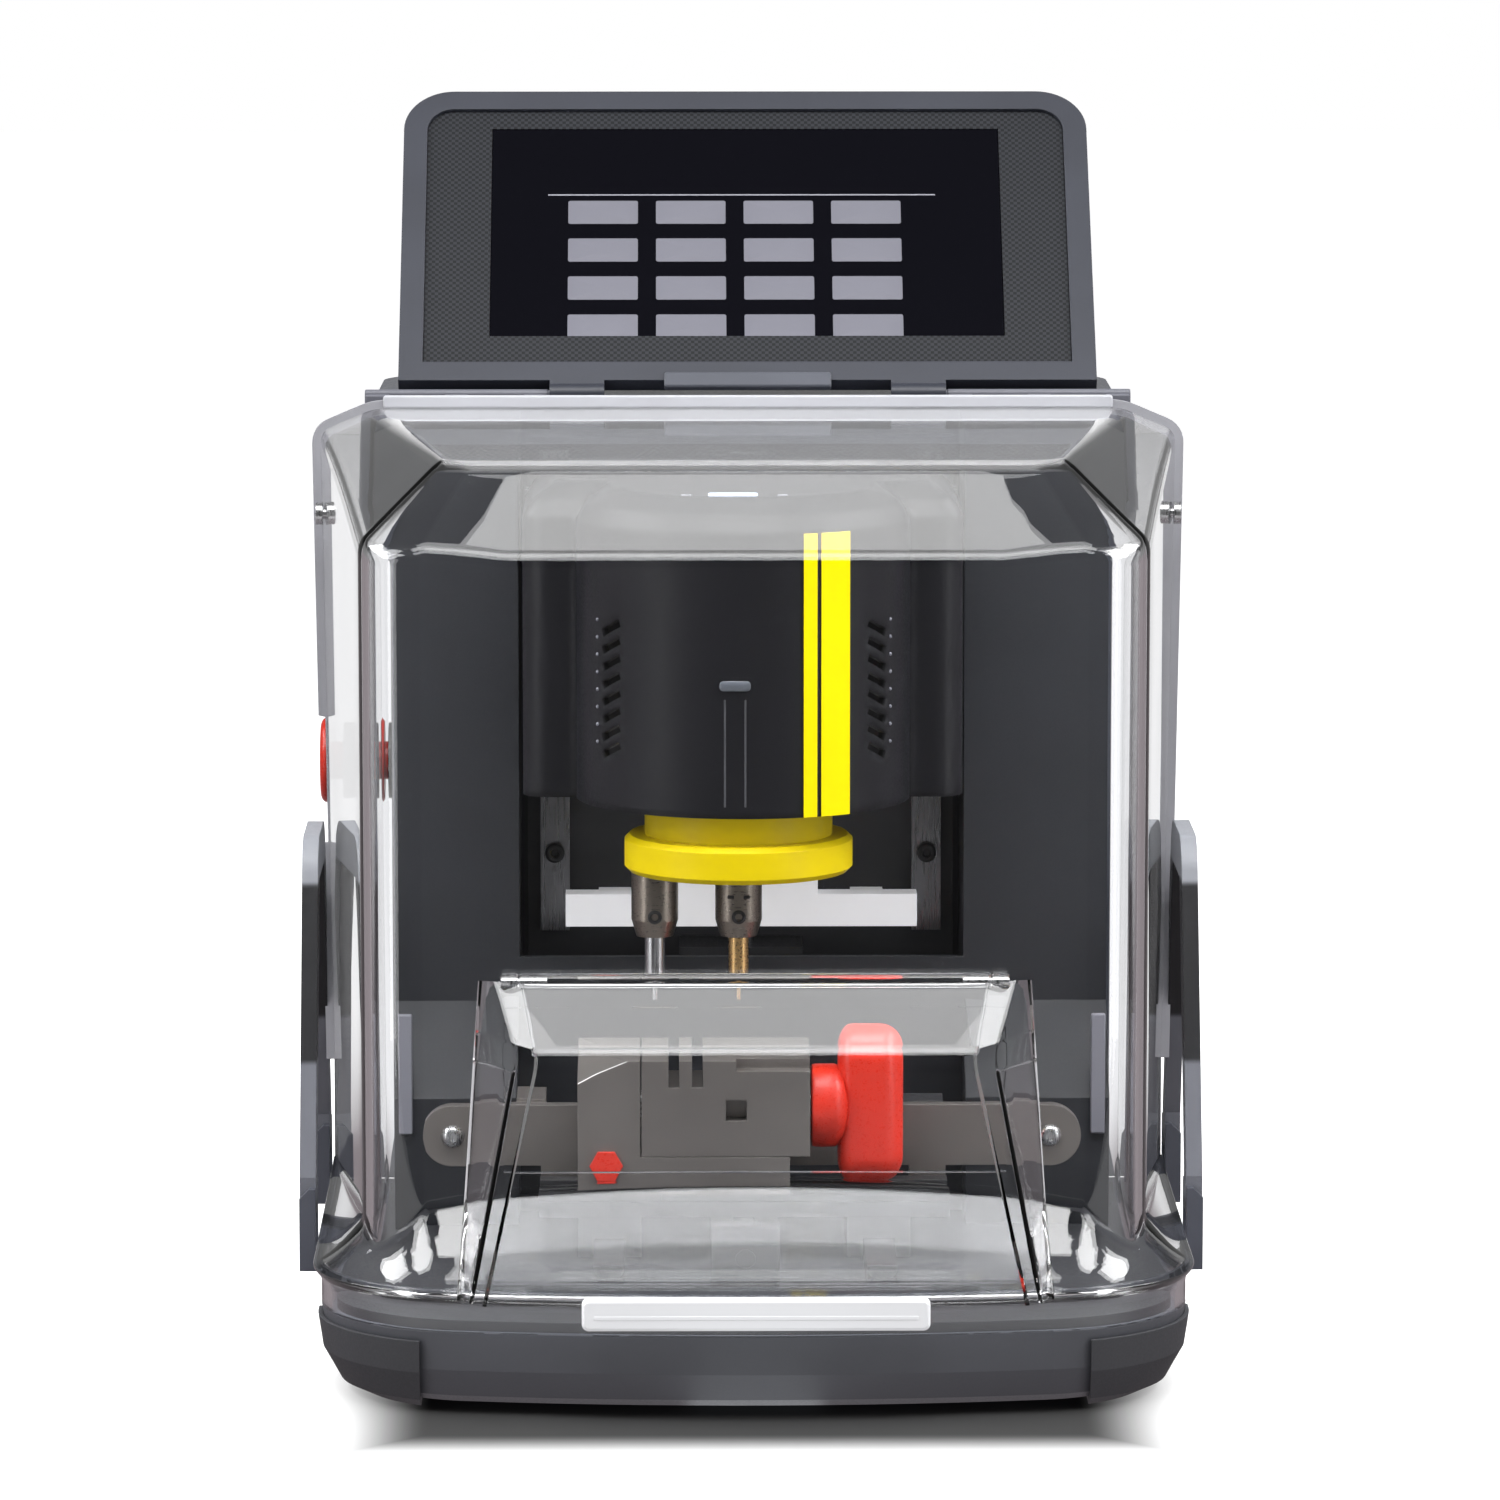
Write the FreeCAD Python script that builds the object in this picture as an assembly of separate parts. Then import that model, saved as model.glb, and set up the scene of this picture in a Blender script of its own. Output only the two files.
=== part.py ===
import FreeCAD, Part
import math
import os

# Bench key duplicating machine, in millimetres: X to the right, Y to the back, Z up.
# The origin is on the bench under the middle of the machine, and the front faces -Y.

V = FreeCAD.Vector

# Clearances
touch_gap = 0.1        # between pieces that are screwed or clipped together
slide_gap = 0.2        # between a rail and its block
run_gap = 0.05         # radial, between a shaft or pin and its bore
swing_gap = 0.4        # between the door and the hood
thread_gap = 0.3       # radial, between a screw and its nut
cut_past = 1.0         # how far a cutting shape passes the face that it cuts

# Base
half_depth = 176.0     # from the middle to the front of the door grip and to the rear feet
grip_proud = 4.0       # how far the door grip stands in front of the base
shoulder_half = 130.0  # half width over the hood's lower shoulder
bow_radius = 520.0     # curve of the base's front edge, seen from above
front_corner = 52.0
rear_corner = 26.0
rim_inset = 3.0        # the tray and the rim stand this far inside the shoulder
tray_bottom = 2.0
tray_top = 25.0
tray_draw = 14.0       # how far the tray's underside draws in
tray_floor = 3.0
tray_flange = 13.0     # width of the tray's top edge
tray_steps = 3         # bands in the tray's rounded side
foot_wrap = 1.5        # thickness of the rubber round the corners
foot_top = 22.0
foot_reach = 30.0      # how far a foot runs in from the tray's side
foot_length = 62.0     # how far a foot runs in from the tray's front or rear
deck_thick = 3.0
deck_inset = 7.5

# Hood
hood_wall = 3.0
shoulder_out = 1.0     # how far the shoulder stands out from the hood's side, at its rear
hood_flare = 16.0      # how much narrower the hood's front is, at each side
hood_lean = 4.0        # how far the rear ends of the sides lean out at the top
rim_top = 33.0
shoulder_z = 36.5
apron_depth = 30.0     # how far the apron sweeps forward from the hood's front
apron_rise = 41.9      # height of the apron's sweep, up to inside the hood's front
apron_curl = 1.4       # power of the sweep: 1 is a plain slope, more is flatter at the rim
apron_steps = 3
hood_round = 19.0      # vertical front corners
hood_rear = 55.0
hood_flange = 10.0      # width of the flange at the hood's rear edge, which the housing stands behind
chamfer_low = 247.0    # where the roof's slope starts on the front
roof_reach = 46.0      # how far the slope would stand out of the rear at that height
hood_top = 272.5
top_draw_side = 13.0   # how far the top face stands inside the sides
top_draw_front = 28.0
top_round = 21.0
inner_chamfer = 0.35   # share of the wall that the top outline moves in by
hood_screw_y = 40.0
hood_screw_z = 241.0
hood_screw_r = 3.5
hood_screw_head = 2.5

# Door
door_top = 124.7
door_top_half = 80.0
door_low_half = 86.0
door_fold_z = 105.3
door_fold_out = 23.0   # how far the fold stands in front of the hood
door_low = 35.0
door_low_proud = 2.6   # how far the door's lower edge stands in front of the base
door_wall = 2.5
door_round = 6.0
door_hinge_r = 2.4
door_pin_r = 1.0
door_pin_reach = 8.0
door_knuckle_half = 68.0
door_lug = 5.0
door_way_half = 72.0   # opening in the hood behind the door
door_way_low = 68.0
door_way_top = 116.0
door_way_round = 3.0
grip_half = 50.0
grip_low = 28.0
grip_top = 37.5

# Handles
handle_clear = 1.6     # between a raised handle and the hood's shoulder
handle_thick = 4.9
handle_leg = 12.0
handle_bar = 13.0
handle_top = 146.0
handle_front_y = -36.0
handle_rear_y = 72.0
handle_grip_half = 24.0
handle_bend = 3.0      # where the legs start to lean, above their brackets
handle_pivot_z = 37.0
handle_pin_r = 1.2
handle_ear = 4.0
handle_round = 14.0
bracket_low = 20.0
bracket_top = 45.0
bracket_deep = 8.0
bracket_slope = 3.0    # chamfer on a bracket's upper outer edge

# Rear housing
housing_wall = 3.0
housing_gap = 0.3      # between the hood's rear edge and the housing
housing_inset = 5.5    # the housing's rear stands this far inside the base
housing_round = 24.0
vent_count = 9
vent_width = 60.0
vent_height = 3.0
vent_pitch = 8.0
vent_low = 180.0
boss_r = 4.0

# Stop button
stop_y = 100.0
stop_z = 156.0
stop_proud = 6.0       # how far the button stands out past the hood's side
stop_cap_r = 13.5
stop_cap_thick = 4.0
stop_dome = 3.0
stop_stem_r = 6.0
stop_stem_length = 22.0
stop_collar_r = 12.0
stop_collar_thick = 6.0

# Chamber
head_x = -2.5          # middle of the head, the recess and the rails
recess_half = 68.0
pillar_front = 5.0
pillar_low = 94.4      # where the pillars turn into the shelves
shelf_front = -20.0
shelf_low = 68.3
sill_top = 108.0
liner_wall = 3.0
liner_side = 16.0      # how far the liner stands inside the hood's rear sides
liner_rear = 54.0
liner_gap = 0.5
column_half = 66.0
column_front = 40.0
column_thick = 10.0
column_top = 262.0
column_window = 16.0

# Head rails and drive
rail_wide = 9.0
rail_high = 8.0
rail_groove = 1.5
head_rail_out = 57.5
head_rail_low = 112.0
head_rail_top = 258.0
block_wide = 19.0
block_long = 25.0
block_high = 14.0
block_clear = 2.0      # between a block's back and the plate that carries its rail
block_low = 175.0
block_step = 42.0
plate_thick = 8.0
plate_low = 172.0
plate_top = 250.0
screw_r = 4.0
screw_y = 31.0
nut_half = 11.0
nut_low = 195.0
nut_high = 18.0
bearing_thick = 8.0
bearing_half = 10.0
head_motor_half = 14.0
head_motor_low = 60.0
head_motor_top = 106.0

# Head
head_half = 66.0
head_low = 165.0
head_top = 258.0
head_flat_y = -48.0
bulge_y = -45.0
bulge_r = 50.0
head_wall = 2.5
head_round = 10.0
head_bend = 0.3        # where the two slopes of the head's soft upper edge meet
inner_head = 0.6       # share of the wall that the inside's soft edge gives up
head_edge = 8.0
louvre_count = 8
louvre_pitch = 5.2
louvre_low = 183.0
louvre_high = 2.4
louvre_wide = 9.0
louvre_turn = 52.0     # degrees round the bulge from its front
louvre_slant = 24.0
stripe_thick = 0.6
stripe_wide = 8.5
stripe_thin = 4.0
stripe_gap = 1.2
stripe_mid = 22.0      # from the middle of the head to the gap between the stripes

# Spindle
spindle_x = -4.0
spindle_y = -60.0
drum_r = 28.0
ring_r = 34.0
ring_low = 145.0
ring_top = 156.0
ring_round = 1.5
drum_top = 172.0
tube_r = 14.0
tube_top = 232.0
arm_half = 19.0
arm_thick = 7.0
shaft_r = 6.0
shaft_top = 251.0
pulley_low = 238.0
pulley_wide = 9.0
pulley_flange = 1.2
pulley_lip = 1.6
spindle_pulley_r = 12.0
motor_pulley_r = 10.0
belt_thick = 1.6
belt_gap = 0.3
collet_r = 7.0
collet_low = 125.0
collet_nose = 5.0
cutter_r = 3.0
cutter_neck = 114.0
cutter_tip = 105.0
cutter_tip_r = 0.6
probe_dx = -25.0
probe_stem_r = 2.0
probe_stem_up = 14.0
probe_tip_r = 0.75
probe_neck = 112.0
motor_y = -12.0
motor_r = 15.5
motor_top = 232.0
motor_shaft_r = 2.5
motor_shaft_deep = 20.0

# Lamp bar
lamp_half = 54.0
lamp_low = 116.3
lamp_high = 10.0
lamp_front = 12.0
lamp_block_left = -29.0
lamp_block_right = 21.0
lamp_block_top = 137.0
lamp_round = 2.0

# Table drive along Y
y_rail_out = 40.0
y_rail_high = 7.0
y_rail_front = -120.0
y_rail_rear = 0.0
y_screw_r = 3.0
y_screw_z = 38.5
y_screw_front = -118.0
y_motor_r = 9.5
y_motor_long = 28.0
y_motor_front = 9.5
small_block_high = 12.0
small_block_long = 16.0
saddle_half = 61.0
saddle_front = -80.0
saddle_rear = -40.0
saddle_low = 42.0
saddle_thick = 5.0

# Cross beam and table drive along X
beam_half = 96.0
beam_front = -47.0
beam_thick = 5.0
beam_low = 52.5
beam_top = 71.0
beam_ear = 6.0         # from the beam's end in to an ear's middle
beam_foot = 11.0       # width of the beam's feet on the saddle
beam_ear_r = 9.3
beam_hole_r = 2.0
x_screw_y = -31.0
x_screw_z = 62.0
x_screw_r = 3.0
x_screw_left = -62.0
x_motor_left = 30.0
x_motor_long = 28.0
x_motor_r = 9.5
x_rail_high = 4.0
x_rail_wide = 7.0
x_rail_front = -75.0
x_rail_rear = -58.0
table_low = 56.0
table_thick = 4.0
table_left = -52.0
table_right = 11.0
x_nut_x = -20.0
x_nut_half = 6.0

# Clamp
clamp_left = -52.0
clamp_split = -33.0    # where the fixed jaw ends
clamp_right = 17.0
clamp_front = -85.0
clamp_rear = -52.0
clamp_top = 92.0
clamp_skirt = 50.0
clamp_skirt_thick = 2.6
clamp_slope = 8.0      # drop of the fixed jaw's slanted top
clamp_slope_run = 15.0
jaw_gap = 0.4
jaw_key_high = 6.0     # guide key under the moving jaw
jaw_key_half = 5.0
jaw_slot_wide = 3.2
jaw_slot_deep = 9.0
jaw_slot_first = 8.0
jaw_slot_step = 7.0
jaw_step_left = 28.0
jaw_step_deep = 4.0
jaw_window = 6.2
jaw_window_left = 25.0
jaw_window_z = 73.0
badge_r = 5.0
badge_thick = 1.0
badge_x = -43.5
badge_z = 59.5
knob_y = -72.0
knob_z = 76.0
knob_long = 27.5
knob_hub_r = 13.0
knob_hub_long = 9.0
knob_wing = 23.4
knob_wing_half = 9.0
knob_round = 4.0
clamp_screw_r = 4.0
clamp_screw_deep = 8.0

# Touch panel
panel_half = 108.7
panel_high = 120.0
panel_lean = 45.0      # degrees back from upright
panel_front = 2.0      # front face to the hinge line
panel_deep = 13.0      # back face to the hinge line
panel_start = 4.0      # lower edge to the hinge line
panel_strip = 12.0     # height of the thin strip under the back shell
panel_corner = 16.0
panel_low_corner = 3.0
bezel_side = 7.5
bezel_deep = 5.0
plate_recess = 1.2
panel_wall = 2.0
display_half = 80.5
display_low = 19.0
display_high = 86.0
display_thick = 1.6
display_recess = 0.2
hinge_y = 61.5
hinge_r = 3.2
hinge_lift = 0.2
hinge_inner = 62.0
hinge_pin_r = 1.4
hinge_pin_reach = 14.0
knuckle_long = 17.0

# Electronics and power
board_half = 62.0
board_low = 75.0
board_high = 95.0
board_thick = 1.6
board_stand = 7.0
supply_side = 6.0      # between the supply and the housing's side wall
supply_wide = 90.0
supply_long = 70.0
supply_clear = 21.0    # between the supply and the housing's rear wall
supply_high = 40.0
supply_fins = 6
supply_fin_deep = 3.0
inlet_x = -60.0
inlet_z = 58.0
inlet_half = 25.0
inlet_high_half = 14.0
inlet_flange = 2.0
inlet_deep = 24.0
socket_dx = -9.0
socket_half = 12.0
socket_high_half = 8.0
socket_deep = 16.0
socket_cut = 4.0
blade_long = 10.0
blade_half = 1.0
blade_high_half = 2.0
blade_step = 7.0
rocker_dx = 14.0
rocker_half = 6.0
rocker_high_half = 9.5
rocker_deep = 8.0
rocker_pin_r = 1.2
rocker_tilt = 8.0

# Places that follow from the sizes above
shoulder_front = grip_proud - half_depth
shoulder_rear = half_depth - foot_wrap + rim_inset
hood_half = shoulder_half - shoulder_out
housing_half = hood_half - hood_flange
liner_half = hood_half - liner_side
hood_front = shoulder_front + apron_depth
screw_lean = hood_lean * (hood_screw_z - tray_top) / (hood_top - tray_top)
screw_share = (hood_rear - hood_screw_y) / (hood_rear - hood_front)
hood_screw_x = hood_half + screw_lean - (hood_flare + screw_lean) * screw_share
deck_top = tray_top + deck_thick
door_axis_y = hood_front - door_hinge_r - swing_gap
housing_front = hood_rear + housing_gap
hinge_z = hood_top + hinge_r + hinge_lift
hinge_outer = housing_half
supply_right = housing_half - housing_wall - supply_side
supply_left = supply_right - supply_wide
handle_in = shoulder_half + handle_clear
handle_out = handle_in + handle_thick
handle_x = handle_in + handle_thick / 2
housing_rear = shoulder_rear - housing_inset
stop_out = hood_half + stop_proud
rail_front = column_front - rail_high
block_front = column_front - block_clear - block_high
plate_front = block_front - plate_thick
saddle_top = saddle_low + saddle_thick
table_top = table_low + table_thick


def box(x0, x1, y0, y1, z0, z1):
    """Block between two corners."""
    return Part.makeBox(x1 - x0, y1 - y0, z1 - z0, V(x0, y0, z0))


def rod(radius, start, end):
    """Round bar between two points."""
    along = end - start
    return Part.makeCylinder(radius, along.Length, start, along)


def tube(radius, bore, start, end):
    """Round bar with a bore right through."""
    along = (end - start).normalize() * cut_past
    return rod(radius, start, end).cut(rod(bore, start - along, end + along))


def prism(points, along):
    """Straight-sided outline carried along a vector."""
    return Part.Face(Part.makePolygon(points + points[:1])).extrude(along)


def tetrahedron(corners):
    """Solid with four flat faces between four corners."""
    faces = []
    for skip in range(4):
        ring = corners[:skip] + corners[skip + 1:]
        faces.append(Part.Face(Part.makePolygon(ring + ring[:1])))
    solid = Part.Solid(Part.makeShell(faces))
    solid.fix(touch_gap / 100, touch_gap / 100, touch_gap / 100)
    return solid


def join(shapes):
    """One solid from touching or overlapping shapes."""
    return shapes[0].multiFuse(shapes[1:]).removeSplitter()


def arc(start, middle, end):
    """Circular edge through three points."""
    return Part.Arc(start, middle, end).toShape()


def line(start, end):
    """Straight edge."""
    return Part.LineSegment(start, end).toShape()


def both_sides(shape):
    """The shape and its mirror image in the middle plane."""
    return [shape, shape.mirror(V(0, 0, 0), V(1, 0, 0))]


def solid_of(shape):
    """The single solid in a boolean result."""
    return shape.Solids[0] if len(shape.Solids) == 1 else shape


def base_outline(inset, z):
    """Plan of the base: bowed front, large front corners, straight sides and rear."""
    side = shoulder_half - inset
    bow = bow_radius - inset
    corner = front_corner - inset
    bow_y = shoulder_front + bow_radius
    corner_x = shoulder_half - front_corner
    corner_y = bow_y - math.sqrt((bow_radius - front_corner) ** 2 - corner_x ** 2)
    reach = math.hypot(corner_x, corner_y - bow_y)
    meet_x = corner_x * bow / reach
    meet_y = bow_y + (corner_y - bow_y) * bow / reach
    half_turn = math.atan2(meet_y - corner_y, meet_x - corner_x) / 2
    mid_x = corner_x + corner * math.cos(half_turn)
    mid_y = corner_y + corner * math.sin(half_turn)
    back_x = shoulder_half - rear_corner
    back_y = shoulder_rear - rear_corner
    back = rear_corner - inset
    slant = back * math.sqrt(0.5)
    rear = shoulder_rear - inset
    return Part.Wire([
        arc(V(-meet_x, meet_y, z), V(0, bow_y - bow, z), V(meet_x, meet_y, z)),
        arc(V(meet_x, meet_y, z), V(mid_x, mid_y, z), V(side, corner_y, z)),
        line(V(side, corner_y, z), V(side, back_y, z)),
        arc(V(side, back_y, z), V(back_x + slant, back_y + slant, z), V(back_x, rear, z)),
        line(V(back_x, rear, z), V(-back_x, rear, z)),
        arc(V(-back_x, rear, z), V(-back_x - slant, back_y + slant, z), V(-side, back_y, z)),
        line(V(-side, back_y, z), V(-side, corner_y, z)),
        arc(V(-side, corner_y, z), V(-mid_x, mid_y, z), V(-meet_x, meet_y, z)),
    ])


def base_loft(sections):
    """Solid through base outlines, each given as an inset and a height."""
    return Part.makeLoft([base_outline(inset, z) for inset, z in sections], True, True)


def rounded_plan(half, front, rear, radius, z, flare=0):
    """Plan with its two front corners rounded, its front narrower by the flare at each side."""
    lean = math.atan2(flare, rear - front)
    turn = (math.pi / 2 + lean) / 2
    corner = V(half - flare, front, z)
    on_front = corner - V(radius / math.tan(turn), 0, 0)
    on_side = corner + V(math.sin(lean), math.cos(lean), 0) * (radius / math.tan(turn))
    middle = corner + V(-math.cos(turn), math.sin(turn), 0) * (radius / math.sin(turn) - radius)
    right = [on_front, middle, on_side, V(half, rear, z)]
    left = [V(-point.x, point.y, z) for point in right]
    return Part.Wire([
        line(left[0], right[0]),
        arc(right[0], right[1], right[2]),
        line(right[2], right[3]),
        line(right[3], left[3]),
        line(left[3], left[2]),
        arc(left[2], left[1], left[0]),
    ])


def tray_form(grow, bottom):
    """The tray's outside, or a surface a little outside it."""
    sections = []
    for step in range(tray_steps + 1):
        share = math.sin(math.radians(90 * step / tray_steps))
        inset = rim_inset - grow + tray_draw * (1 - math.sqrt(1 - share ** 2))
        sections.append((inset, tray_top - (tray_top - bottom) * share))
    return base_loft(sections)


def bracket_block(grow):
    """Lower part of a right-hand handle bracket, in the tray's side, for each leg."""
    inside = shoulder_half - rim_inset - bracket_deep
    width = handle_leg / 2 + handle_ear + slide_gap + grow
    blocks = []
    for leg_y in (handle_front_y, handle_rear_y):
        blocks.append(box(inside - grow, handle_out + grow, leg_y - width, leg_y + width,
                          bracket_low - grow, tray_top - touch_gap + grow))
    return blocks


def base_tray():
    """Open tray with a rounded underside and pockets for the handle brackets."""
    hollow = base_loft([(rim_inset + tray_draw + tray_flange / 2, tray_bottom + tray_floor),
                        (rim_inset + tray_flange, tray_top - tray_flange),
                        (rim_inset + tray_flange, tray_top + cut_past)])
    tray = tray_form(0, tray_bottom).cut(hollow)
    for block in bracket_block(touch_gap):
        for pocket in both_sides(block):
            tray = tray.cut(pocket)
    return tray


def corner_feet():
    """Rubber wraps round the tray's corners, which the machine stands on."""
    side = shoulder_half - rim_inset
    wrap = tray_form(foot_wrap, 0).cut(tray_form(touch_gap, tray_bottom))
    feet = []
    spans = ((shoulder_front - cut_past, shoulder_front + rim_inset + foot_length),
             (shoulder_rear - rim_inset - foot_length, shoulder_rear + cut_past))
    for front, rear in spans:
        corner = box(side - foot_reach, side + foot_wrap + cut_past, front, rear, -cut_past, foot_top)
        feet += both_sides(solid_of(wrap.common(corner)))
    return Part.makeCompound(feet)


def base_deck():
    """Deck plate on the tray's edge, its rear inside the housing's walls."""
    plate = base_loft([(deck_inset, tray_top), (deck_inset, deck_top)])
    front = box(-shoulder_half, shoulder_half, shoulder_front, housing_front, tray_top, deck_top)
    rear = Part.Face(housing_plan(housing_wall + touch_gap, tray_top)).extrude(V(0, 0, deck_thick))
    return join([plate.common(front), plate.common(rear)])


def wall_plan(inset, rear, z):
    """Plan of the hood's walls at a height, wider at the rear towards the top."""
    lean = hood_lean * (z - tray_top) / (hood_top - tray_top)
    return rounded_plan(hood_half + lean - inset, hood_front + inset, rear, hood_round - inset, z,
                        hood_flare + lean)


def hood_form(inset, past):
    """Solid inside the hood's outer face, or inside a face parallel to it."""
    rear = hood_rear + past
    low = tray_top - past
    top = hood_top - inset
    draw = inset * inner_chamfer
    rim = rim_inset + inset
    walls = Part.makeLoft([wall_plan(inset, rear, low), wall_plan(inset, rear, chamfer_low)], True, True)
    high_walls = Part.makeLoft([wall_plan(inset, rear, chamfer_low), wall_plan(inset, rear, hood_top)],
                               True, True)
    roof = Part.makeLoft([
        rounded_plan(hood_half + roof_reach - inset, hood_front + inset, rear, hood_round - inset, chamfer_low,
                     hood_flare + roof_reach),
        rounded_plan(hood_half - top_draw_side - draw, hood_front + top_draw_front + draw, rear,
                     top_round - draw, top, hood_flare)], True, True)
    shoulder = high_walls.common(roof)
    run = apron_depth + hood_round / 2
    sweep = []
    for step in range(apron_steps + 1):
        share = step / apron_steps
        sweep.append((inset + run * share, shoulder_z + apron_rise * share ** apron_curl))
    apron = base_loft([(rim, low), (rim, rim_top)] + sweep)
    front_part = box(-shoulder_half, shoulder_half, shoulder_front - cut_past, rear, low, hood_top)
    return join([walls, shoulder, apron.common(front_part)])


def door_lugs():
    """Right-hand hinge lug on the hood's front, with its bore."""
    inner = door_knuckle_half + swing_gap
    start = V(inner, door_axis_y, door_top)
    end = V(inner + door_lug, door_axis_y, door_top)
    stem = box(inner, inner + door_lug, door_axis_y, hood_front + hood_wall / 2,
               door_top - door_hinge_r / 2, door_top + door_hinge_r / 2)
    bore = rod(door_pin_r, start - V(cut_past, 0, 0), end + V(cut_past, 0, 0))
    return join([rod(door_hinge_r, start, end), stem]).cut(bore)


def hood():
    """Clear cover: flat top, sloped shoulders, flat front and an apron out to the base rim."""
    shell = hood_form(0, 0).cut(hood_form(hood_wall, cut_past))
    way = box(-door_way_half, door_way_half, hood_front - cut_past, hood_front + hood_wall + cut_past,
              door_way_low, door_way_top)
    way = way.makeFillet(door_way_round, [e for e in way.Edges if abs(e.tangentAt(0).y) > 0.9])
    shell = shell.cut(way)
    inside = V(hood_screw_x - hood_wall - cut_past, hood_screw_y, hood_screw_z)
    outside = V(hood_screw_x + cut_past, hood_screw_y, hood_screw_z)
    for hole in both_sides(rod(hood_screw_r / 2, inside, outside)):
        shell = shell.cut(hole)
    flange = hood_form(0, 0).common(box(housing_half, hood_half + hood_lean, hood_rear - hood_wall, hood_rear,
                                        deck_top + touch_gap, hood_top))
    return join([shell] + both_sides(flange) + both_sides(door_lugs()))


def hood_screws():
    """Round-headed screws through the hood's sides into the liner."""
    head = rod(hood_screw_r, V(hood_screw_x + swing_gap, hood_screw_y, hood_screw_z),
               V(hood_screw_x + hood_screw_head, hood_screw_y, hood_screw_z))
    stem = rod(hood_screw_r / 2 - run_gap, V(hood_screw_x - hood_wall, hood_screw_y, hood_screw_z),
               V(hood_screw_x + hood_screw_head / 2, hood_screw_y, hood_screw_z))
    return Part.makeCompound(both_sides(join([head, stem])))


def door_form(inset, past):
    """Solid inside the door's outer face: slanted top, sloped front, drawn-in sides."""
    back = hood_front + apron_depth
    reach = door_low_half + cut_past
    low_front = shoulder_front - door_low_proud
    fold_front = hood_front - door_fold_out
    slope = math.atan2(door_top - door_fold_z, door_fold_out)
    rise = inset / math.cos(slope)
    side = [V(-reach, back, door_top - rise), V(-reach, hood_front, door_top - rise),
            V(-reach, fold_front + inset, door_fold_z - rise + inset * math.tan(slope)),
            V(-reach, low_front + inset, door_low - past), V(-reach, back, door_low - past)]
    body = prism(side, V(2 * reach, 0, 0))
    flare = (door_low_half - door_top_half) / (door_top - door_low)
    low_half = door_low_half - inset + flare * past
    top_half = door_top_half - inset
    front_view = prism([V(-low_half, low_front - cut_past, door_low - past),
                        V(low_half, low_front - cut_past, door_low - past),
                        V(top_half, low_front - cut_past, door_top),
                        V(-top_half, low_front - cut_past, door_top)],
                       V(0, back - low_front + 2 * cut_past, 0))
    form = body.common(front_view)
    corners = []
    for edge in form.Edges:
        ends = [v.Point for v in edge.Vertexes]
        on_side = all(abs(p.x) > top_half - cut_past for p in ends)
        if on_side and all(p.y < hood_front + cut_past for p in ends) and edge.Length > door_round * 3:
            corners.append(edge)
    return form.makeFillet(door_round - inset, corners)


def door_panel():
    """Clear door: folded shell trimmed to the hood, hinge barrel along its top, grip lip."""
    shell = door_form(0, 0).cut(door_form(door_wall, cut_past))
    shell = shell.cut(hood_form(-swing_gap, 0))
    grip_front = -half_depth
    grip_back = shoulder_front - swing_gap
    lip = prism([V(-grip_half, grip_front, grip_top), V(grip_half, grip_front, grip_top),
                 V(grip_half - grip_proud, grip_front, grip_low),
                 V(grip_proud - grip_half, grip_front, grip_low)], V(0, grip_back - grip_front, 0))
    axis_left = V(-door_knuckle_half, door_axis_y, door_top)
    axis_right = V(door_knuckle_half, door_axis_y, door_top)
    door = join([shell, lip, rod(door_hinge_r, axis_left, axis_right)])
    for notch in both_sides(rod(door_hinge_r + swing_gap * 2, axis_right,
                                axis_right + V(door_lug + 2 * swing_gap, 0, 0))):
        door = door.cut(notch)
    for bore in both_sides(rod(door_pin_r + run_gap, axis_right - V(door_pin_reach + swing_gap, 0, 0),
                               axis_right + V(cut_past, 0, 0))):
        door = door.cut(bore)
    return door


def door_hinge_pins():
    """Pins pressed into the hood's lugs, which the door turns on."""
    outer = door_knuckle_half + swing_gap + door_lug
    pin = rod(door_pin_r, V(door_knuckle_half - door_pin_reach, door_axis_y, door_top),
              V(outer, door_axis_y, door_top))
    return Part.makeCompound(both_sides(pin))


def handle_brackets():
    """Clevis brackets in the tray's sides, each with its pin across."""
    brackets = []
    for block, leg_y in zip(bracket_block(0), (handle_front_y, handle_rear_y)):
        inner = handle_leg / 2 + slide_gap
        outer = inner + handle_ear
        ears = []
        for low, high in ((leg_y - outer, leg_y - inner), (leg_y + inner, leg_y + outer)):
            ears.append(prism([V(handle_in, low, bracket_low), V(handle_out, low, bracket_low),
                               V(handle_out, low, bracket_top - bracket_slope),
                               V(handle_out - bracket_slope, low, bracket_top),
                               V(handle_in, low, bracket_top)], V(0, high - low, 0)))
        pin = rod(handle_pin_r, V(handle_x, leg_y - outer, handle_pivot_z),
                  V(handle_x, leg_y + outer, handle_pivot_z))
        brackets += both_sides(join([block, pin] + ears))
    return Part.makeCompound(brackets)


def leg_edge(start, end, z):
    """Place along Y of a leg's edge at a height: straight in its bracket, then leaning to the grip."""
    low = bracket_top + handle_bend
    return start + (end - start) * max(0, z - low) / (handle_top - low)


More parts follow.
